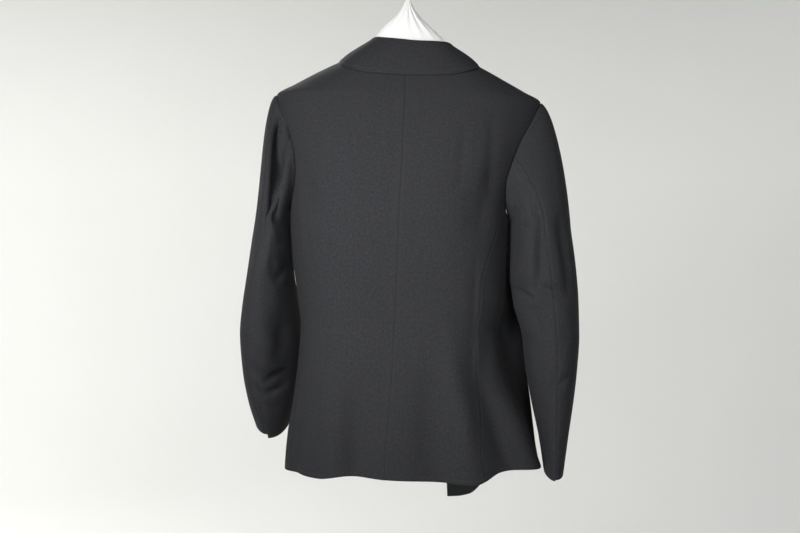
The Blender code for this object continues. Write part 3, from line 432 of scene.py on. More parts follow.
def side_limit(z, side, front):
    """Outer edge of a front or back panel: seam, armhole, then shoulder."""
    joint = arm_joint(side, front)
    seam = read(SEAM[("front" if front else "back", side)], "turn", z)
    hole = arm_edge(z, side, front)
    edge = np.where(z < joint, seam, np.where(z < TIP_Z, hole, 90.0))
    own = inset(side * edge, z, GAP * 0.5)
    return edge + (own if front else -own)


def panel_rows(top, joint):
    """Heights of a front or back panel's rows, closest at hem and shoulder."""
    skirt = LOW_Z + (joint - LOW_Z) * (np.linspace(0, 1, 106)[:-1]) ** 1.12
    near = LOW_Z + np.array([0.0004, 0.0010, 0.0018])
    hole = TIP_Z - (TIP_Z - joint) * (np.linspace(1, 0, 44)) ** 1.6
    shoulder = eased(34, TIP_Z, top, 0.6)[1:]
    return np.unique(np.concatenate([skirt, near, hole, shoulder]))


def settle(z, turn, top, top_z):
    """Row heights bent to the hem at the bottom and to the neck on top."""
    hem = read(HEM, "z", turn)
    z = z + (hem - LOW_Z) * (1 - step(LOW_Z, LOW_Z + 0.16, z))
    return z + (top_z - top) * step(top - 0.035, top, z)


def seam_low(side, front):
    """Angle of a side seam at the nominal hem."""
    return float(read(SEAM[("front" if front else "back", side)], "turn", LOW_Z))


def right_lift(reach):
    """The wearer's right front lies over the left one near the centre."""
    return (WALL + LIE) * (1 - step(0.024, 0.060, reach))


def front_reach(turn, z, side):
    """Distance outwards from the centre front, as in front_turn."""
    cf = read(BODY, "front_x", z)
    own = np.abs(ring_x(z, side) - cf)
    return np.where(np.abs(turn) > 90, np.sin(np.radians(turn)) * side * own, own)


def back_surface(side):
    """Grid of outer points and their normals for one half of the back."""
    top = -0.1600
    z = panel_rows(top, arm_joint(side, False))[:, None]
    u, z = np.broadcast_arrays(eased(64, 0, 1, 0.86)[None, :], z)
    z = settle(z, side * seam_low(side, False) * u, top, read(NECK, "z", 90 * u))
    first = inset(0 * z, z, GAP * 0.5)
    turn = side * (first + (side_limit(z, side, False) - first) * u)
    return body(turn, z), body_out(turn, z)


def front_surface(side):
    top, near = -0.1530, seam_low(side, True)
    z = panel_rows(top, arm_joint(side, True))[:, None]
    u, z = np.broadcast_arrays(eased(66, 0, 1, 0.86)[None, :], z)
    z = settle(z, side * (near + (184 - near) * u), top, top - 0.003 * u)
    reach = np.where(z < BREAK_Z, -OVERLAP, read(ROLL, "reach", z))
    edge = np.abs(front_turn(z, reach, side))
    start = side_limit(z, side, True)
    turn = side * (start + (edge - start) * u)
    out = body_out(turn, z)
    lift = right_lift(front_reach(turn, z, side)) if side < 0 else 0 * z
    return body(turn, z) + out * lift[..., None], out


def side_surface(side):
    mid, half = (TIP_Z + ARM_LOW_Z) / 2, (TIP_Z - ARM_LOW_Z) / 2
    low_back, low_front = seam_low(side, False), seam_low(side, True)
    back_top = arm_edge(arm_joint(side, False), side, False)
    front_top = arm_edge(arm_joint(side, True), side, True)
    share = np.concatenate([[0, 0.0006, 0.0014, 0.0026], eased(96, 0, 1, 0.2)[1:]])
    u, v = np.broadcast_arrays(eased(40, 0, 1, 0.8)[None, :], share[:, None])
    at_top = back_top + (front_top - back_top) * u
    k = np.clip((at_top - 90) / np.where(at_top > 90, ARM_FRONT, ARM_BACK), -1, 1)
    hole = mid - half * np.sqrt(1 - k * k) - GAP
    z = LOW_Z + (hole - LOW_Z) * v
    hem = read(HEM, "z", side * (low_back + (low_front - low_back) * u))
    z = z + (hem - LOW_Z) * (1 - step(LOW_Z, LOW_Z + 0.16, z))
    a = read(SEAM[("back", side)], "turn", z)
    b = read(SEAM[("front", side)], "turn", z)
    a = a + inset(side * a, z, GAP * 0.5)
    b = b - inset(side * b, z, GAP * 0.5)
    turn = side * (a + (b - a) * u)
    return body(turn, z), body_out(turn, z)


def lapel_surface(side):
    u, v = np.broadcast_arrays(eased(34, 0, 1, 0.7)[None, :], eased(72, 0, 1, 0.7)[:, None])
    z0 = LAPEL_LOW_Z + (-0.1965 - LAPEL_LOW_Z) * v
    z1 = LAPEL_LOW_Z - 0.002 + (-0.2460 - LAPEL_LOW_Z) * v
    r0 = read(ROLL, "reach", z0) + 0.0006
    r1 = r0 + 0.008 + 0.060 * v ** 0.75
    z = z0 + (z1 - z0) * u
    reach = r0 + (r1 - r0) * u
    lift = LIE + WALL + 0.0025 * (1 - u) ** 2
    if side < 0:
        lift = lift + right_lift(reach)
    turn = front_turn(z, reach, side)
    out = body_out(turn, z)
    return body(turn, z) + out * lift[..., None], out


def collar_point(row, w):
    """Middle of the collar's cloth; row -7..7 round the neck, w 0..1 over
    the stand, the fold and the fall."""
    row, w = np.broadcast_arrays(np.clip(row, -7.0, 7.0), np.clip(w, 0.0, 1.0))
    side = np.where(row < 0, -1.0, 1.0)
    k = np.abs(row)

    def seam_line(r):
        q, sd = np.abs(r), np.where(r < 0, -1.0, 1.0)
        z = read(COLLAR, "z", q)
        edge = np.abs(front_turn(z, read(ROLL, "reach", z), np.where(r < 0, -1, 1)))
        turn = read(COLLAR, "turn", q)
        turn = turn + (edge - turn) * step(3.9, 4.1, q)
        return sd * turn, z

    def seam_at(r):
        turn, z = seam_line(r)
        return body(turn, z) - body_out(turn, z) * (WALL * 0.5)
    seam = seam_at(row)
    edge_dir = seam_at(row + 0.02) - seam_at(row - 0.02)
    out = body_out(*seam_line(row))
    up = np.cross(edge_dir, out)
    up = up / np.linalg.norm(up, axis=-1, keepdims=True)
    up = np.where(up[..., 2:3] < 0, -up, up)
    fx = side * read(COLLAR, "fold_x", k) - 0.006
    fz = read(COLLAR, "fold_z", k) + 0.075 * fx
    fold = np.stack([fx, read(COLLAR, "fold_y", k), fz], -1)
    flat = fold - np.array([-0.006, 0.0, 0.0])
    flat[..., 2] = 0
    flat = flat / np.linalg.norm(flat, axis=-1, keepdims=True)
    high = np.array([0, 0, 1.0])
    e_turn, e_z = side * read(COLLAR, "edge_turn", k), read(COLLAR, "edge_z", k)
    lift = COLLAR_LIE + WALL * 0.5
    edge = body(e_turn, e_z) + body_out(e_turn, e_z) * lift
    s0 = seam + up * 1.5 * SET_GAP
    s1 = s0 + up * 0.0035
    inside, outside = fold - flat * 0.0024, fold + flat * 0.0024
    knots = [s0, s1, (s1 + inside) / 2 - flat * 0.0004, inside, fold + high * 0.0022,
             outside, outside * 0.66 + edge * 0.34 + flat * 0.0022,
             outside * 0.30 + edge * 0.70 + flat * 0.0012 + high * 0.001, edge]
    at = np.array([0, 0.09, 0.26, 0.42, 0.50, 0.58, 0.74, 0.88, 1.0])
    stack = np.stack(knots)
    slope = np.gradient(stack, at, axis=0)
    h = np.diff(at)
    n = np.clip(np.searchsorted(at, w, side="right") - 1, 0, len(h) - 1)
    s = ((w - at[n]) / h[n])[..., None]
    cells = tuple(np.indices(w.shape))
    a, b = stack[(n,) + cells], stack[(n + 1,) + cells]
    ma, mb = slope[(n,) + cells], slope[(n + 1,) + cells]
    hn = h[n][..., None]
    return ((1 + 2 * s) * (1 - s) ** 2 * a + s * (1 - s) ** 2 * hn * ma
            + s * s * (3 - 2 * s) * b + s * s * (s - 1) * hn * mb)


def collar_surface():
    row, w = np.broadcast_arrays(eased(150, -7, 7, 0.5)[None, :], eased(56, 0, 1, 0.75)[:, None])
    n = normals(collar_point, row, w, 0.02, 0.004)
    return collar_point(row, w) + n * WALL / 2, n


def sleeve_ring(side, turn, z):
    """Level section of a sleeve; turn 0 = back, 90 = outer, 180 = front."""
    tab = SLEEVE[side]
    t = np.radians(turn)
    s, c = np.sin(t), np.cos(t)
    side_x = np.where(s >= 0, read(tab, "out_x", z), read(tab, "in_x", z))
    side_y = np.where(s >= 0, read(tab, "out_y", z), read(tab, "in_y", z))
    mid_x = np.where(c >= 0, read(tab, "back_x", z), read(tab, "front_x", z))
    mid_y = np.where(c >= 0, read(tab, "back_y", z), read(tab, "front_y", z))
    x = mid_x + (side_x - mid_x) * np.abs(s)
    y = side_y + (mid_y - side_y) * np.abs(c)
    drop = -read(tab, "pitch", z) * (y - side_y)
    return np.stack([x, y, z + drop], -1)


def armhole(side, turn, gap):
    """Point of the armhole edge seen along the sleeve: turn 90 = the tip."""
    mid, half = (TIP_Z + ARM_LOW_Z) / 2, (TIP_Z - ARM_LOW_Z) / 2 - gap
    t = np.radians(turn)
    z = mid + half * np.sin(t)
    wide = np.where(np.cos(t) >= 0, -ARM_BACK, ARM_FRONT)
    angle = 90 + wide * np.abs(np.cos(t))
    small = inset(side * angle, z, gap)
    angle = angle + np.where(np.cos(t) >= 0, small, -small) * np.abs(np.cos(t))
    return body(side * angle, z)


def sleeve(side, turn, v):
    """Outer sleeve surface: v 0..1 over the head, 1..2 down to the cuff."""
    turn, v = np.broadcast_arrays(np.asarray(turn, float), np.asarray(v, float))
    cuff = SLEEVE[side]["z"][0]
    head = np.clip(v, 0, 1)[..., None]
    low_z = SLEEVE_Z + (cuff - SLEEVE_Z) * np.clip(v - 1, 0, 1)
    p0 = armhole(side, turn, 1.2 * SET_GAP)
    p3 = sleeve_ring(side, turn, 0 * v + SLEEVE_Z)
    s = np.sin(np.radians(turn))
    drop = np.linalg.norm(p3 - p0, axis=-1)
    lead = 0.006 + 0.016 * np.clip(s, 0, 1)
    p1 = p0 + np.stack([side * lead, 0.25 * lead * np.cos(np.radians(turn)), -0.15 * lead], -1)
    draw = 0.014 if side > 0 else 0.006
    p2 = p3 + np.stack([-side * draw * np.clip(s, 0, 1), 0 * drop, 0.42 * drop], -1)
    cap = (1 - head) ** 3 * p0 + 3 * head * (1 - head) ** 2 * p1 \
        + 3 * head ** 2 * (1 - head) * p2 + head ** 3 * p3
    point = np.where(head < 1, cap, sleeve_ring(side, turn, low_z))
    z = point[..., 2]
    t = np.radians(turn)
    way = np.stack([side * np.sin(t), np.cos(t), 0 * t], -1)
    push = 0.0
    for turn0, lean, top, low, width, depth in SLEEVE_FOLDS[side]:
        off = (turn - turn0 - lean * (z - top) + 180) % 360 - 180
        push = push + depth * np.exp(-(off / width) ** 2) \
            * step(-top, -top + 0.05, -z) * (1 - step(-low - 0.03, -low, -z))
    for level, slope, turn0, spread, width, depth in SLEEVE_CREASES[side]:
        off = (turn - turn0 + 180) % 360 - 180
        push = push + depth * np.exp(-((z - level - slope * off) / width) ** 2) \
            * np.exp(-(off / spread) ** 2)
    return point + way * np.asarray(push)[..., None]


def sleeve_surface(side, upper):
    """Grid of the upper or under sleeve, from the armhole to the cuff."""
    head = eased(46, 0, 1, 0.4)
    arm = 1 + 1.0 * (1 - (1 - np.linspace(0, 1, 130)[1:]) ** 1.1)
    v = np.concatenate([head, arm])[:, None]
    u, v = np.broadcast_arrays(eased(66 if upper else 54, 0, 1, 0.8)[None, :], v)
    z = np.where(v < 1, -0.30 - 0.13 * v, SLEEVE_Z + (SLEEVE[side]["z"][0] - SLEEVE_Z) * (v - 1))

    def surface(turn, at):
        return sleeve(side, turn, at)
    elbow = read(ELBOW[side], "turn", z)
    size = np.linalg.norm(surface(elbow + 1, v) - surface(elbow - 1, v), axis=-1) / 2
    gap = SET_GAP * 0.5 / np.maximum(size, 2e-4)
    start = elbow + gap if upper else INSEAM + gap
    end = INSEAM - gap if upper else 360 + elbow - gap
    turn = start + (end - start) * u
    n = normals(surface, turn, v, 0.6, 0.004)
    point = surface(turn, v)
    centre = (point + surface(turn + 180, v)) / 2
    flip = np.sum(n * (point - centre), -1, keepdims=True) < 0
    return point, np.where(flip, -n, n)


def photo_spots(points):
    """Where points show in the photograph, in its pixels."""
    deep = CAMERA_Y - points[..., 1]
    px = PHOTO_W / 2 - (points[..., 0] - CAMERA_X) / (deep * PIXEL)
    py = PHOTO_H / 2 - (points[..., 2] - CAMERA_Z) / (deep * PIXEL)
    return np.stack([px, py], -1)


def front_spots(points):
    return np.stack([points[..., 0], points[..., 2]], -1) * 1000


def crease(spots, line, width, depth, skew):
    """Soft trough or ridge in metres along a line, fading at its ends; the
    skew makes one flank steeper than the other."""
    line = np.array(line, float)
    run = np.diff(line, axis=0)
    size = np.linalg.norm(run, axis=1)
    best = np.full(spots.shape[:-1], 1e9)
    share, hand = np.zeros(best.shape), np.zeros(best.shape)
    done = 0.0
    for start, way, long in zip(line, run, size):
        off = spots - start
        t = np.clip((off @ way) / long ** 2, 0, 1)
        away = off - t[..., None] * way
        far = np.linalg.norm(away, axis=-1)
        cross = way[0] * away[..., 1] - way[1] * away[..., 0]
        near = far < best
        best = np.where(near, far, best)
        share = np.where(near, (done + t * long) / size.sum(), share)
        hand = np.where(near, np.sign(cross), hand)
        done += long
    fade = step(-0.05, 0.25, share) * (1 - step(0.75, 1.05, share))
    return depth * 0.001 * fade * np.exp(-(best / (width * (1 + skew * hand))) ** 2)


def creases(points, out, seen, hidden):
    """All listed creases of a piece, on its back and on its front."""
    behind = step(-0.15, 0.35, out[..., 1])
    ahead = step(-0.15, 0.35, -out[..., 1])
    push = np.zeros(points.shape[:-1])
    for line, width, depth, skew in seen:
        push += behind * crease(photo_spots(points), line, width, depth, skew)
    for line, width, depth, skew in hidden:
        push += ahead * crease(front_spots(points), line, width, depth, skew)
    return push


def unrest(points, size, seed):
    """Slow unevenness of hanging cloth: a few waves of odd directions."""
    rng = np.random.default_rng(seed)
    push = np.zeros(points.shape[:-1])
    for _ in range(9):
        way = rng.normal(size=3) * (70.0, 70.0, 26.0)
        push += np.sin(points @ way + rng.uniform(0, 6.28)) / 9
    return push * size


def edge_distances(points):
    """Distance over the cloth to the first and last column and row."""
    across = np.linalg.norm(np.diff(points, axis=1), axis=-1)
    along = np.linalg.norm(np.diff(points, axis=0), axis=-1)
    u = np.concatenate([np.zeros((len(points), 1)), np.cumsum(across, 1)], 1)
    v = np.concatenate([np.zeros((1, points.shape[1])), np.cumsum(along, 0)], 0)
    return u, u[:, -1:] - u, v, v[-1:] - v


# How an edge is finished: draw in of the outer face, its width, a pressed
# ridge behind the seam, and a stitched row
EDGES = {
    "seam": (0.00030, 0.0008, 0.00022, 0.0),
    "set": (0.00035, 0.0012, 0.00030, 0.0),
    "free": (0.00062, 0.0011, 0.0, 0.00040),
    "roll": (0.0, 0.001, 0.0, 0.0),
}


def edge_form(near, kinds):
    """Push of the outer face by the finish of each of the four edges."""
    push = np.zeros(near[0].shape)
    for far, kind in zip(near, kinds):
        draw, width, ridge, row = EDGES[kind]
        push -= draw * np.exp(-(far / width) ** 2)
        push += ridge * np.exp(-((far - 0.0045) / 0.0022) ** 2)
        push -= row * np.exp(-((far - EDGE_STITCH) / 0.0012) ** 2)
    return push


# How far the hidden face runs on under a seam, so that no light comes through
ALLOWANCE = {"seam": 0.00010, "set": 0.00040}
MADE = {}


def edge_way(points, edge):
    """Unit direction over the cloth towards its first or last column or row."""
    axis = 1 if edge < 2 else 0
    way = np.gradient(points, axis=axis) * (-1 if edge in (0, 2) else 1)
    return way / np.maximum(np.linalg.norm(way, axis=-1, keepdims=True), 1e-12)


def surface_size(points, near):
    """A hung piece's width, length and area, measured on its own modelled surface.

    No pattern of the jacket is known. Hung wool hardly stretches, so the surface stands in
    for the cut, without seam allowances or hems.
    """
    down = points[1:, 1:] - points[:-1, :-1]
    across = points[1:, :-1] - points[:-1, 1:]
    area = np.linalg.norm(np.cross(down, across), axis=-1).sum() / 2
    return round(float(near[0].max()), 3), round(float(near[2].max()), 3), round(float(area), 4)


def shell(name, node, grid, kinds, push, finish, lining=None):
    """A closed thin shell of cloth on a grid of outer points: one face is a
    plane bmesh grid laid over them, the other its extrusion."""
    points, out = grid
    near = edge_distances(points)
    form = edge_form(near, kinds)
    outer = points + out * (push + form)[..., None]
    closing = sum(0.45 * EDGES[k][0] * np.exp(-(f / EDGES[k][1]) ** 2) for f, k in zip(near, kinds))
    inner = points + out * (push - WALL + closing)[..., None]
    for edge, (far, kind) in enumerate(zip(near, kinds)):
        if kind in ALLOWANCE:
            inner += edge_way(points, edge) * (ALLOWANCE[kind] * np.exp(-(far / 0.002) ** 2))[..., None]
    rows, lanes = points.shape[0] - 1, points.shape[1] - 1
    bm = bmesh.new()
    bmesh.ops.create_grid(bm, x_segments=lanes, y_segments=rows, size=1.0)
    sheet = bmesh.ops.extrude_face_region(bm, geom=bm.faces[:], use_keep_orig=True)
    for item in sheet["geom"]:
        if isinstance(item, bmesh.types.BMVert):
            item.co.z = 1.0
    spots = np.array([v.co[:] for v in bm.verts])
    i = np.round((spots[:, 0] + 1) / 2 * lanes).astype(int)
    j = np.round((spots[:, 1] + 1) / 2 * rows).astype(int)
    within = spots[:, 2] > 0.5
    for face in bm.faces:
        face.smooth = True
        face.material_index = 1 if min(v.co.z for v in face.verts) > 0.5 else 0
    places = np.where(within[:, None], inner[j, i], outer[j, i])
    for vert, place in zip(bm.verts, places):
        vert.co = place
    bm.normal_update()
    bmesh.ops.recalc_face_normals(bm, faces=bm.faces)
    mesh = bpy.data.meshes.new(name)
    bm.to_mesh(mesh)
    bm.free()
    mesh.set_sharp_from_angle(angle=math.radians(48))
    mesh.materials.append(finish)
    mesh.materials.append(lining or finish)
    middle = near[2][:, [lanes // 2]]
    cloth = np.stack([(near[0] - near[0][:, -1:] / 2)[j, i], np.broadcast_to(middle, near[0].shape)[j, i]], 1)
    loops = np.zeros(len(mesh.loops), int)
    mesh.loops.foreach_get("vertex_index", loops)
    mesh.uv_layers.new(name="cloth").data.foreach_set("uv", cloth[loops].ravel())
    # Closeness to the panel's edges: the wool's roughness is lowered there where it is pressed, and its colour
    # is darkened there as painted shade along seams and edges
    pressed = np.exp(-np.min(np.stack(near), 0) / 0.004)
    mark = mesh.attributes.new("pressed", "FLOAT", "POINT")
    mark.data.foreach_set("value", pressed[j, i])
    piece = bpy.data.objects.new(name, mesh)
    bpy.context.scene.collection.objects.link(piece)
    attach(piece, "root")
    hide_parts(node)
    width, length, area = surface_size(points, near)
    MADE[name] = (outer, out, near)
    return piece


class Value:
    """A node socket's value; shader maths on it reads as an expression."""

    def __init__(self, finish, socket):
        self.finish = finish
        self.socket = socket

    def _math(self, operation, *terms):
        return self.finish.math(operation, *terms)

    def __add__(self, other):
        return self._math("ADD", self, other)

    __radd__ = __add__

    def __sub__(self, other):
        return self._math("SUBTRACT", self, other)

    def __rsub__(self, other):
        return self._math("SUBTRACT", other, self)

    def __mul__(self, other):
        return self._math("MULTIPLY", self, other)

    __rmul__ = __mul__

    def __truediv__(self, other):
        return self._math("DIVIDE", self, other)

    def __pow__(self, other):
        return self._math("POWER", self, other)


class Finish:
    """A material and its nodes."""

    def __init__(self, name, **constants):
        self.material = bpy.data.materials.new(name)
        self.material.use_nodes = True
        self.tree = self.material.node_tree
        self.shader = self.tree.nodes["Principled BSDF"]
        for socket, value in constants.items():
            self.shader.inputs[socket.replace("_", " ")].default_value = value

    def node(self, kind, settings=None, inputs=None):
        made = self.tree.nodes.new(kind)
        for key, value in (settings or {}).items():
            if key == "stops":
                ramp = made.color_ramp
                for stop, (at, colour) in zip((ramp.elements[0], ramp.elements[1]), (value[0], value[-1])):
                    stop.position, stop.color = at, (*colour, 1)
                for at, colour in value[1:-1]:
                    ramp.elements.new(at).color = (*colour, 1)
            else:
                setattr(made, key, value)
        for key, value in (inputs or {}).items():
            self.feed(made.inputs[key], value)
        return made

    def feed(self, socket, value):
        if isinstance(value, Value):
            self.tree.links.new(value.socket, socket)
        else:
            socket.default_value = value

    def out(self, made, name=0):
        return Value(self, made.outputs[name])

    def math(self, operation, *terms):
        return self.out(self.node("ShaderNodeMath", {"operation": operation}, dict(enumerate(terms))))

    def object_place(self):
        return self.out(self.node("ShaderNodeTexCoord"), "Object")

    def scaled(self, vector, scale):
        made = self.node("ShaderNodeMapping", None, {"Vector": vector, "Scale": scale})
        return self.out(made)

    def noise(self, vector, scale, detail=3.0, rough=0.55):
        made = self.node("ShaderNodeTexNoise", None, {
            "Vector": vector, "Scale": scale, "Detail": detail, "Roughness": rough})
        return self.out(made, "Fac")

    def mix(self, share, first, second):
        """Mix of two colours."""
        made = self.node("ShaderNodeMix", {"data_type": "RGBA"})
        self.feed(made.inputs[0], share)
        for socket, value in ((made.inputs[6], first), (made.inputs[7], second)):
            self.feed(socket, value if isinstance(value, Value) else (*value, 1.0))
        return Value(self, made.outputs[2])

    def bump(self, height, distance, strength=1.0, under=None):
        inputs = {"Height": height, "Distance": distance, "Strength": strength}
        if under is not None:
            inputs["Normal"] = under
        return self.out(self.node("ShaderNodeBump", None, inputs))

    def set(self, **sockets):
        for name, value in sockets.items():
            self.feed(self.shader.inputs[name.replace("_", " ")], value)
        return self.material


def twill(finish, rib):
    """Diagonal ribs of a twill crossed by its warp, from the cloth's own
    UV map in metres."""
    place = finish.node("ShaderNodeUVMap", {"uv_map": "cloth"})
    parts = finish.node("ShaderNodeSeparateXYZ", None, {"Vector": finish.out(place)})
    u, v = finish.out(parts, "X"), finish.out(parts, "Y")
    turn = 2 * math.pi / rib
    diagonal = finish.math("SINE", (u * 0.85 + v * 0.53) * turn)
    cross = finish.math("SINE", (u * -0.62 + v * 0.78) * (turn * 1.9))
    return finish.out(place), diagonal * 0.35 + cross * 0.15 + 0.5


def wool_finish():
    """Dark worsted: twill ribs, mixed fibres, a soft nap, pressed edges, and painted shade darkening the cloth
    along its seams and edges.
    """
    wool = Finish("worsted_wool", Sheen_Weight=0.02, Sheen_Roughness=0.45, Specular_IOR_Level=0.12)
    place = wool.object_place()
    cloth, ribs = twill(wool, 0.00085)
    slow = wool.noise(place, 7.0, 3.0)
    fibre = wool.noise(wool.scaled(cloth, (1.0, 0.45, 1.0)), 620.0, 4.0, 0.7)
    fleck = wool.noise(wool.scaled(cloth, (1.0, 0.7, 1.0)), 330.0, 2.0, 0.75)
    slub = wool.noise(wool.scaled(cloth, (1.0, 0.06, 1.0)), 300.0, 2.0, 0.6)
    pressed = wool.out(wool.node("ShaderNodeAttribute", {"attribute_name": "pressed"}), "Fac")
    tone = wool.mix(fibre, (0.0095, 0.0098, 0.0114), (0.0250, 0.0256, 0.0284))
    tone = wool.mix(wool.math("MULTIPLY", slow, 0.40), tone, (0.0240, 0.0243, 0.0268))
    tone = wool.mix((fleck ** 3.0) * 1.6, tone, (0.0480, 0.0490, 0.0530))
    tone = wool.mix((slub ** 3.0) * 0.7, tone, (0.0350, 0.0360, 0.0400))
    # Painted shade: the wool is darkened within a few millimetres of every seam and edge
    tone = wool.mix((pressed ** 6.0) * 0.40, tone, (0.0120, 0.0123, 0.0140))
    height = ribs * 0.5 + fibre * 0.9 + fleck * 0.6
    return wool.set(Base_Color=tone, Roughness=0.74 + fleck * 0.22 - pressed * 0.10,
                    Normal=wool.bump(height, 0.00028, 0.85))


def lining_finish():
    lining = Finish("lining_satin", Sheen_Weight=0.05, Specular_IOR_Level=0.45)
    place = lining.object_place()
    cloth, ribs = twill(lining, 0.0006)
    slow = lining.noise(place, 22.0, 3.0)
    tone = lining.mix(slow, (0.020, 0.021, 0.024), (0.032, 0.033, 0.037))
    return lining.set(Base_Color=tone, Roughness=0.38 + slow * 0.18,
                      Normal=lining.bump(ribs * 0.3 + slow * 2.0, 0.00035, 0.7))


def thread_finish():
    thread = Finish("sewing_thread", Sheen_Weight=0.1, Specular_IOR_Level=0.4)
    twist = thread.noise(thread.object_place(), 2400.0, 2.0)
    tone = thread.mix(twist, (0.018, 0.0185, 0.021), (0.040, 0.041, 0.046))
    return thread.set(Base_Color=tone, Roughness=0.50 + twist * 0.2,
                      Normal=thread.bump(twist, 0.0001, 0.6))


def cotton_finish():
    """White cotton cover: plain weave, slight random greying."""
    cotton = Finish("cover_cotton", Sheen_Weight=0.15, Sheen_Roughness=0.5, Specular_IOR_Level=0.25)
    place = cotton.object_place()
    parts = cotton.node("ShaderNodeSeparateXYZ", None, {"Vector": place})
    turn = 2 * math.pi / 0.0007
    weft = cotton.math("SINE", cotton.out(parts, "X") * turn)
    warp = cotton.math("SINE", cotton.out(parts, "Z") * turn)
    slow = cotton.noise(place, 38.0, 4.0)
    tone = cotton.mix(slow, (0.88, 0.88, 0.87), (0.97, 0.97, 0.96))
    return cotton.set(Base_Color=tone, Roughness=0.72 + slow * 0.16,
                      Normal=cotton.bump(weft * warp * 0.4 + slow * 1.6, 0.0004, 0.7))


def button_finish():
    button = Finish("button_horn", Specular_IOR_Level=0.5, Coat_Roughness=0.18, Coat_Weight=0.3)
    place = button.object_place()
    swirl = button.noise(button.scaled(place, (1.0, 1.0, 3.0)), 240.0, 4.0)
    tone = button.mix(swirl, (0.010, 0.010, 0.011), (0.042, 0.040, 0.040))
    return button.set(Base_Color=tone, Roughness=0.24 + swirl * 0.2,
                      Normal=button.bump(swirl, 0.0001, 0.4))


def steel_finish():
    steel = Finish("hook_wire", Metallic=1.0)
    place = steel.object_place()
    drawn = steel.noise(steel.scaled(place, (1.0, 1.0, 0.15)), 1500.0, 3.0)
    worn = steel.noise(place, 160.0, 4.0)
    tone = steel.mix(worn, (0.46, 0.46, 0.47), (0.70, 0.70, 0.70))
    return steel.set(Base_Color=tone, Roughness=0.20 + drawn * 0.18 + worn * 0.08,
                     Normal=steel.bump(drawn, 0.00005, 0.5))


WOOL = wool_finish()
LINING = lining_finish()
THREAD = thread_finish()
COTTON = cotton_finish()
HORN = button_finish()
STEEL = steel_finish()


def finished(name, bm, finishes, node=None, angle=40):
    """A mesh object from a bmesh, riding on the jacket."""
    bm.normal_update()
    bmesh.ops.recalc_face_normals(bm, faces=bm.faces)
    for face in bm.faces:
        face.smooth = True
    mesh = bpy.data.meshes.new(name)
    bm.to_mesh(mesh)
    bm.free()
    mesh.set_sharp_from_angle(angle=math.radians(angle))
    for finish in finishes:
        mesh.materials.append(finish)
    piece = bpy.data.objects.new(name, mesh)
    bpy.context.scene.collection.objects.link(piece)
    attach(piece, "root")
    if node:
        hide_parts(node)
    return piece


def edge_run(name, edge, far):
    """Points and normals of a line `far` in from one edge of a made piece."""
    outer, out, near = MADE[name]
    away = near[edge]
    if edge in (0, 1):
        outer, out, away = outer, out, away
    else:
        outer, out, away = outer.swapaxes(0, 1), out.swapaxes(0, 1), away.T
    if edge in (1, 3):
        outer, out, away = outer[:, ::-1], out[:, ::-1], away[:, ::-1]
    line = np.array([[np.interp(far, a, p[:, k]) for k in range(3)] for a, p in zip(away, outer)])
    face = np.array([[np.interp(far, a, p[:, k]) for k in range(3)] for a, p in zip(away, out)])
    return line, face / np.linalg.norm(face, axis=1, keepdims=True)


def stitch_row(name, runs, pitch=STITCH_PITCH, long=STITCH_LONG, thick=THREAD_R):
    """Rows of single stitches, each a small spindle half sunk in the cloth."""
    bm = bmesh.new()
    for line, face in runs:
        size = np.linalg.norm(np.diff(line, axis=0), axis=1)
        at = np.concatenate([[0], np.cumsum(size)])
        for k in range(int(at[-1] / pitch)):
            a, b = k * pitch, k * pitch + long
            p = np.array([np.interp(a, at, line[:, m]) for m in range(3)])
            q = np.array([np.interp(b, at, line[:, m]) for m in range(3)])
            n = Vector([np.interp((a + b) / 2, at, face[:, m]) for m in range(3)])
            way = Vector(q - p).normalized()
            n = (n - way * n.dot(way)).normalized()
            turned = Matrix((n.cross(way), n, way)).transposed().to_4x4()
            spot = Matrix.Translation(Vector((p + q) / 2) + n * thick * 0.35)
            sized = Matrix.Diagonal((thick * 1.3, thick, long / 2, 1))
            bmesh.ops.create_uvsphere(bm, u_segments=6, v_segments=4, radius=1.0, matrix=spot @ turned @ sized)
    return finished(name, bm, [THREAD], angle=80)


def front_button(number, z):
    """Four-hole button with a raised rim, sewn down with thread."""
    turn = front_turn(np.array([z]), np.array([0.0]), -1)
    lift = right_lift(np.array([0.0])) + SET_GAP
    n = body_out(turn, np.array([z]))[0]
    p = body(turn, np.array([z]))[0] + n * lift
    profile = ((0.0, 0.0031), (0.0040, 0.0030), (0.0062, 0.0029), (0.0072, 0.0033), (0.0080, 0.0039),
               (0.0090, 0.0040), (0.0099, 0.0035), (0.0105, 0.0024), (0.0104, 0.0012), (0.0095, 0.0004),
               (0.0070, 0.0), (0.0, 0.0))
    bm = bmesh.new()
    ring = [bm.verts.new((r, 0, h)) for r, h in profile]
    edges = [bm.edges.new(pair) for pair in zip(ring, ring[1:])]
    bmesh.ops.spin(bm, geom=ring + edges, cent=(0, 0, 0), axis=(0, 0, 1), angle=2 * math.pi,
                   steps=40, use_merge=True)
    bmesh.ops.remove_doubles(bm, verts=bm.verts, dist=1e-6)
    faces = len(bm.faces)
    holes = [(sx * 0.0017, sy * 0.0017) for sx in (1, -1) for sy in (1, -1)]
    for x, y in holes:
        bmesh.ops.create_cone(bm, cap_ends=True, segments=12, radius1=0.0006, radius2=0.0009, depth=0.0006,
                              matrix=Matrix.Translation((x, y, 0.00302)))
    dark = len(bm.faces)
    for angle in (45, -45):
        bar = Matrix.Translation((0, 0, 0.0034)) @ Matrix.Rotation(math.radians(angle), 4, "Z") \
            @ Matrix.Diagonal((0.0026, 0.0004, 0.00035, 1))
        bmesh.ops.create_uvsphere(bm, u_segments=10, v_segments=6, radius=1.0, matrix=bar)
    bm.faces.ensure_lookup_table()
    for k, face in enumerate(bm.faces):
        face.material_index = 0 if k < faces else 1
    spin = Vector((0, 0, 1)).rotation_difference(Vector(n)).to_matrix().to_4x4()
    bmesh.ops.transform(bm, matrix=Matrix.Translation(Vector(p)) @ spin, verts=bm.verts)
    return finished(f"button_{number}", bm, [HORN, THREAD], f"front_button_{number}")


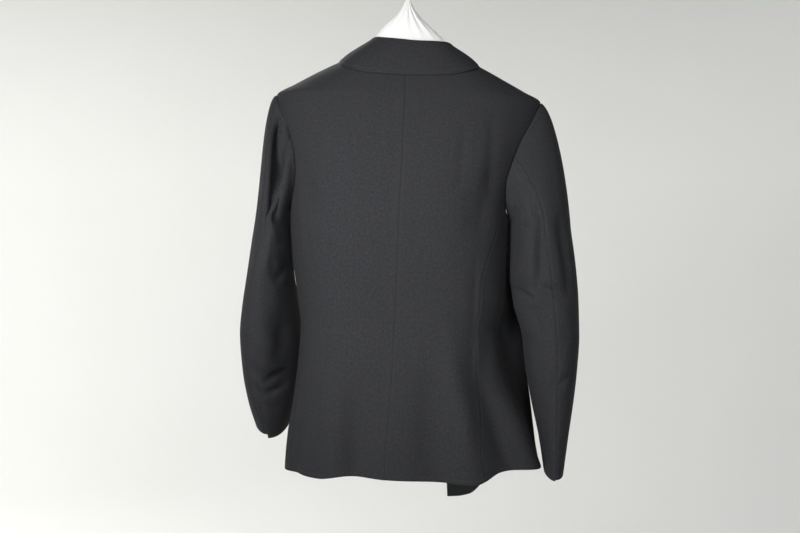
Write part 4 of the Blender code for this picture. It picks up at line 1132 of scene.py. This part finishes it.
def ridge_z(x):
    """Height of the shoulder ridge above a distance from the middle."""
    z = np.linspace(TIP_Z, -0.150, 300)
    width = np.abs(ring_x(z, x))
    inside = np.maximum(width[-1] - np.abs(x), 0)
    return np.interp(np.abs(x), width[::-1], z[::-1]) + 0.5 * inside


ARM = table("share tall thick", (
    (0.00, 0.034, 1.00), (0.40, 0.034, 1.00), (0.75, 0.030, 0.96),
    (0.90, 0.026, 0.86), (0.97, 0.018, 0.62), (1.00, 0.006, 0.25)))
NECK_FLAT_Z = -0.1512
CONE = table("z across deep middle", (
    (-0.1509, 0.0590, 0.0190, -0.0050), (-0.1400, 0.0555, 0.0195, -0.0050),
    (-0.1290, 0.0545, 0.0195, -0.0030), (-0.1140, 0.0436, 0.0190, -0.0010),
    (-0.1052, 0.0344, 0.0178, 0.0000), (-0.0910, 0.0200, 0.0140, 0.0000),
    (-0.0780, 0.0104, 0.0092, 0.0000), (-0.0640, 0.0034, 0.0034, 0.0000)))


def tube_form(around, along):
    """Unit tube with capped ends, its sides cut into level rings."""
    bm = bmesh.new()
    bmesh.ops.create_cone(bm, cap_ends=True, segments=around, radius1=1.0, radius2=1.0, depth=2.0)
    sides = [e for e in bm.edges if abs(e.verts[0].co.z - e.verts[1].co.z) > 1]
    bmesh.ops.subdivide_edges(bm, edges=sides, cuts=along - 1, use_grid_fill=True)
    return bm


def padded_arms():
    """Padded bar along both shoulders in a cotton cover, with small puckers
    along its lower seam."""
    bm = tube_form(56, 150)
    for v in bm.verts:
        a = math.atan2(v.co.y, v.co.x)
        x = ARM_REACH * math.sin(v.co.z * math.pi / 2 * 0.92) / math.sin(math.pi / 2 * 0.92)
        share = abs(x) / ARM_REACH
        tall = float(read(ARM, "tall", share))
        deep = ARM_DEPTH * float(read(ARM, "thick", share))
        top = min(float(ridge_z(x)) - WALL * 1.18 - 0.0008, NECK_FLAT_Z)
        top -= 0.006 * float(step(0.90, 1.0, share))
        c, s = math.cos(a), math.sin(a)
        square = 1.0 if top < NECK_FLAT_Z - 0.0005 else 0.45
        rise = math.copysign(abs(s) ** square, s)
        pucker = 0.0005 * math.sin(x * 520 + 2.0 * math.sin(x * 61)) * max(0.0, -s) ** 2
        v.co = (x, (deep - 0.0004 + pucker) * c, top - tall / 2 + rise * (tall / 2 + pucker) + TILT * x)
    piece = finished("padded_arms", bm, [COTTON], "hanger_arms", angle=60)
    return piece


def gathered_neck():
    """Cover drawn up round the hook's shank in uneven gathers."""
    bm = tube_form(144, 60)
    low, high = CONE["z"][0], CONE["z"][-1]
    for v in bm.verts:
        share = (v.co.z + 1) / 2
        z = low + (high - low) * share
        a = math.atan2(v.co.y, v.co.x)
        wave = math.sin(11 * a + 1.3 * math.sin(3 * a)) * 0.6 + math.sin(17 * a + 0.7) * 0.4
        pull = 1 + wave * (0.012 + 0.10 * float(step(0.25, 0.95, share)))
        pull = min(pull, 1.04)
        x = float(read(CONE, "middle", z)) + float(read(CONE, "across", z)) * math.cos(a) * pull
        v.co = (x, float(read(CONE, "deep", z)) * math.sin(a) * pull, z + TILT * x)
    piece = finished("gathered_neck", bm, [COTTON], "hanger_neck", angle=60)
    return piece


def wire_hook():
    """Round wire hook on its shank, both ends capped flat."""
    path = [Vector((0, 0, z)) for z in (-0.0632, -0.0610, -0.0585, -0.0560)]
    mid_z = WIRE_R - HOOK_R
    start = math.radians(-118)
    for k in range(1, 6):
        s = k / 6
        low, high = -0.0560, mid_z + HOOK_R * math.sin(start)
        path.append(Vector((HOOK_R * math.cos(start) * s * s, 0, low + (high - low) * s)))
    for k in range(73):
        a = start - math.radians(k / 72 * 232)
        path.append(Vector((HOOK_R * math.cos(a), 0, mid_z + HOOK_R * math.sin(a))))
    bm = bmesh.new()
    loops = []
    for k, point in enumerate(path):
        way = (path[min(k + 1, len(path) - 1)] - path[max(k - 1, 0)]).normalized()
        turned = Vector((0, 0, 1)).rotation_difference(way).to_matrix().to_4x4()
        loops.append(bmesh.ops.create_circle(bm, cap_ends=k in (0, len(path) - 1), segments=18,
                                             radius=WIRE_R, matrix=Matrix.Translation(point) @ turned)["verts"])
    for a, b in zip(loops, loops[1:]):
        rims = [{e for v in loop for e in v.link_edges if e.other_vert(v) in loop} for loop in (a, b)]
        bmesh.ops.bridge_loops(bm, edges=list(rims[0] | rims[1]))
    return finished("wire_hook", bm, [STEEL], "hanger_hook", angle=40)


def dress_jacket():
    """Every cloth piece of the jacket, each on its own CAD node."""
    for word, side in (("left", 1), ("right", -1)):
        kinds = {
            "back": ("seam", "seam", "free", "set"),
            "front": ("seam", "free", "free", "set"),
            "side": ("seam", "seam", "free", "set"),
            "lapel": ("roll", "free", "free", "free"),
            "sleeve": ("seam", "seam", "set", "free"),
        }
        grid = back_surface(side)
        shell(f"wool_back_{word}", f"back_{word}", grid, kinds["back"],
              creases(*grid, BACK_CREASES, ()) + unrest(grid[0], 0.0006, 3), WOOL, lining=LINING)
        grid = side_surface(side)
        shell(f"wool_side_{word}", f"side_{word}", grid, kinds["side"],
              creases(*grid, BACK_CREASES, FRONT_CREASES) + unrest(grid[0], 0.0006, 3), WOOL, lining=LINING)
        grid = front_surface(side)
        shell(f"wool_front_{word}", f"front_{word}", grid, kinds["front"],
              creases(*grid, (), FRONT_CREASES) + unrest(grid[0], 0.0005, 3), WOOL, lining=LINING)
        grid = lapel_surface(side)
        shell(f"wool_lapel_{word}", f"lapel_{word}", grid, kinds["lapel"],
              creases(*grid, (), FRONT_CREASES) + unrest(grid[0], 0.0005, 3), WOOL)
        seen = LEFT_SLEEVE_CREASES if side > 0 else RIGHT_SLEEVE_CREASES
        for part in ("upper", "under"):
            grid = sleeve_surface(side, part == "upper")
            shell(f"wool_{part}_sleeve_{word}", f"{part}_sleeve_{word}", grid, kinds["sleeve"],
                  creases(*grid, seen, FRONT_SLEEVE_CREASES) + unrest(grid[0], 0.0008, 5),
                  WOOL, lining=LINING)
    grid = collar_surface()
    shell("wool_collar", "collar", grid, ("free", "free", "set", "free"),
          unrest(grid[0], 0.0003, 4), WOOL)


def sew():
    """Edge stitching of the hem, collar, lapels, fronts and cuffs."""
    hems = [edge_run(f"wool_{part}_{word}", 2, EDGE_STITCH)
            for word in ("left", "right") for part in ("back", "side", "front")]
    stitch_row("stitches_hem", hems)
    stitch_row("stitches_collar", [edge_run("wool_collar", 3, EDGE_STITCH)])
    for word in ("left", "right"):
        stitch_row(f"stitches_lapel_{word}", [edge_run(f"wool_lapel_{word}", 1, EDGE_STITCH)])
        stitch_row(f"stitches_cuff_{word}", [edge_run(f"wool_{part}_sleeve_{word}", 3, EDGE_STITCH)
                                             for part in ("upper", "under")])
        line, face = edge_run(f"wool_front_{word}", 1, EDGE_STITCH)
        under_lapel = line[:, 2] < BREAK_Z + 0.010
        stitch_row(f"stitches_front_{word}", [(line[under_lapel], face[under_lapel])])


def camera():
    data = bpy.data.cameras.new("photo_camera")
    data.lens = LENS
    data.sensor_width = SENSOR
    eye = bpy.data.objects.new("photo_camera", data)
    eye.location = (CAMERA_X, CAMERA_Y, CAMERA_Z)
    eye.rotation_euler = (math.radians(90), 0, math.radians(180))
    bpy.context.scene.collection.objects.link(eye)
    bpy.context.scene.camera = eye


def area_light(name, spot, target, size, power, colour=(1, 1, 1), spread=180):
    data = bpy.data.lights.new(name, "AREA")
    data.spread = math.radians(spread)
    data.shape = "RECTANGLE"
    data.size, data.size_y = size
    data.energy = power
    data.color = colour
    lamp = bpy.data.objects.new(name, data)
    lamp.location = spot
    lamp.rotation_euler = (Vector(target) - Vector(spot)).to_track_quat("-Z", "Y").to_euler()
    lamp.visible_camera = False
    bpy.context.scene.collection.objects.link(lamp)


def backdrop():
    """Pale paper sweep all round: a floor that curves up into a round wall."""
    bm = bmesh.new()
    floor_z, wall_r, bend = -1.50, 4.3, 1.4
    line = [(0.0, floor_z), (wall_r - bend, floor_z)]
    for k in range(1, 13):
        a = math.radians(90 * k / 12)
        line.append((wall_r - bend + bend * math.sin(a), floor_z + bend - bend * math.cos(a)))
    line.append((wall_r, 2.6))
    ring = [bm.verts.new((r, 0, z)) for r, z in line]
    edges = [bm.edges.new(pair) for pair in zip(ring, ring[1:])]
    bmesh.ops.spin(bm, geom=ring + edges, cent=(0, 0, 0), axis=(0, 0, 1), angle=2 * math.pi,
                   steps=96, use_merge=True)
    bmesh.ops.remove_doubles(bm, verts=bm.verts, dist=1e-5)
    for face in bm.faces:
        face.smooth = True
    mesh = bpy.data.meshes.new("paper_sweep")
    bm.to_mesh(mesh)
    bm.free()
    paper = Finish("paper_pale", Specular_IOR_Level=0.2)
    slow = paper.noise(paper.object_place(), 1.5, 2.0)
    mesh.materials.append(paper.set(Base_Color=paper.mix(slow, (0.80, 0.80, 0.785), (0.83, 0.83, 0.82)),
                                    Roughness=0.9))
    sweep = bpy.data.objects.new("paper_sweep", mesh)
    bpy.context.scene.collection.objects.link(sweep)


def studio_light():
    world = bpy.data.worlds.new("studio")
    world.use_nodes = True
    air = world.node_tree.nodes["Background"]
    air.inputs["Color"].default_value = (0.93, 0.95, 1.0, 1)
    air.inputs["Strength"].default_value = 0.07
    bpy.context.scene.world = world
    area_light("key", (0.72, 1.34, -0.20), (-0.04, 0, -0.47), (0.45, 0.45), 3.3, spread=58)
    area_light("fill", (-0.7, 2.6, 0.4), (-0.05, 0, -0.40), (0.7, 0.7), 1.5, spread=50)
    area_light("wall_left", (1.3, -2.0, -0.2), (1.5, -4.2, -0.7), (2.2, 1.8), 38, (1.0, 0.995, 0.97))
    area_light("wall_right", (-1.6, -1.8, 0.2), (-1.6, -4.2, -0.7), (2.6, 1.8), 17, (0.98, 1.0, 0.985))
    area_light("front_soft", (0.9, -1.9, 0.9), (0, 0, -0.45), (0.9, 0.9), 38)
    area_light("wall_back", (0.0, 2.6, 0.0), (0.0, 4.2, -0.5), (3.0, 2.0), 24)
    bpy.context.scene.view_settings.view_transform = "Standard"


camera()
dress_jacket()
sew()
for number, height in enumerate(BUTTON_Z, 1):
    front_button(number, height)
padded_arms()
gathered_neck()
wire_hook()
backdrop()
studio_light()
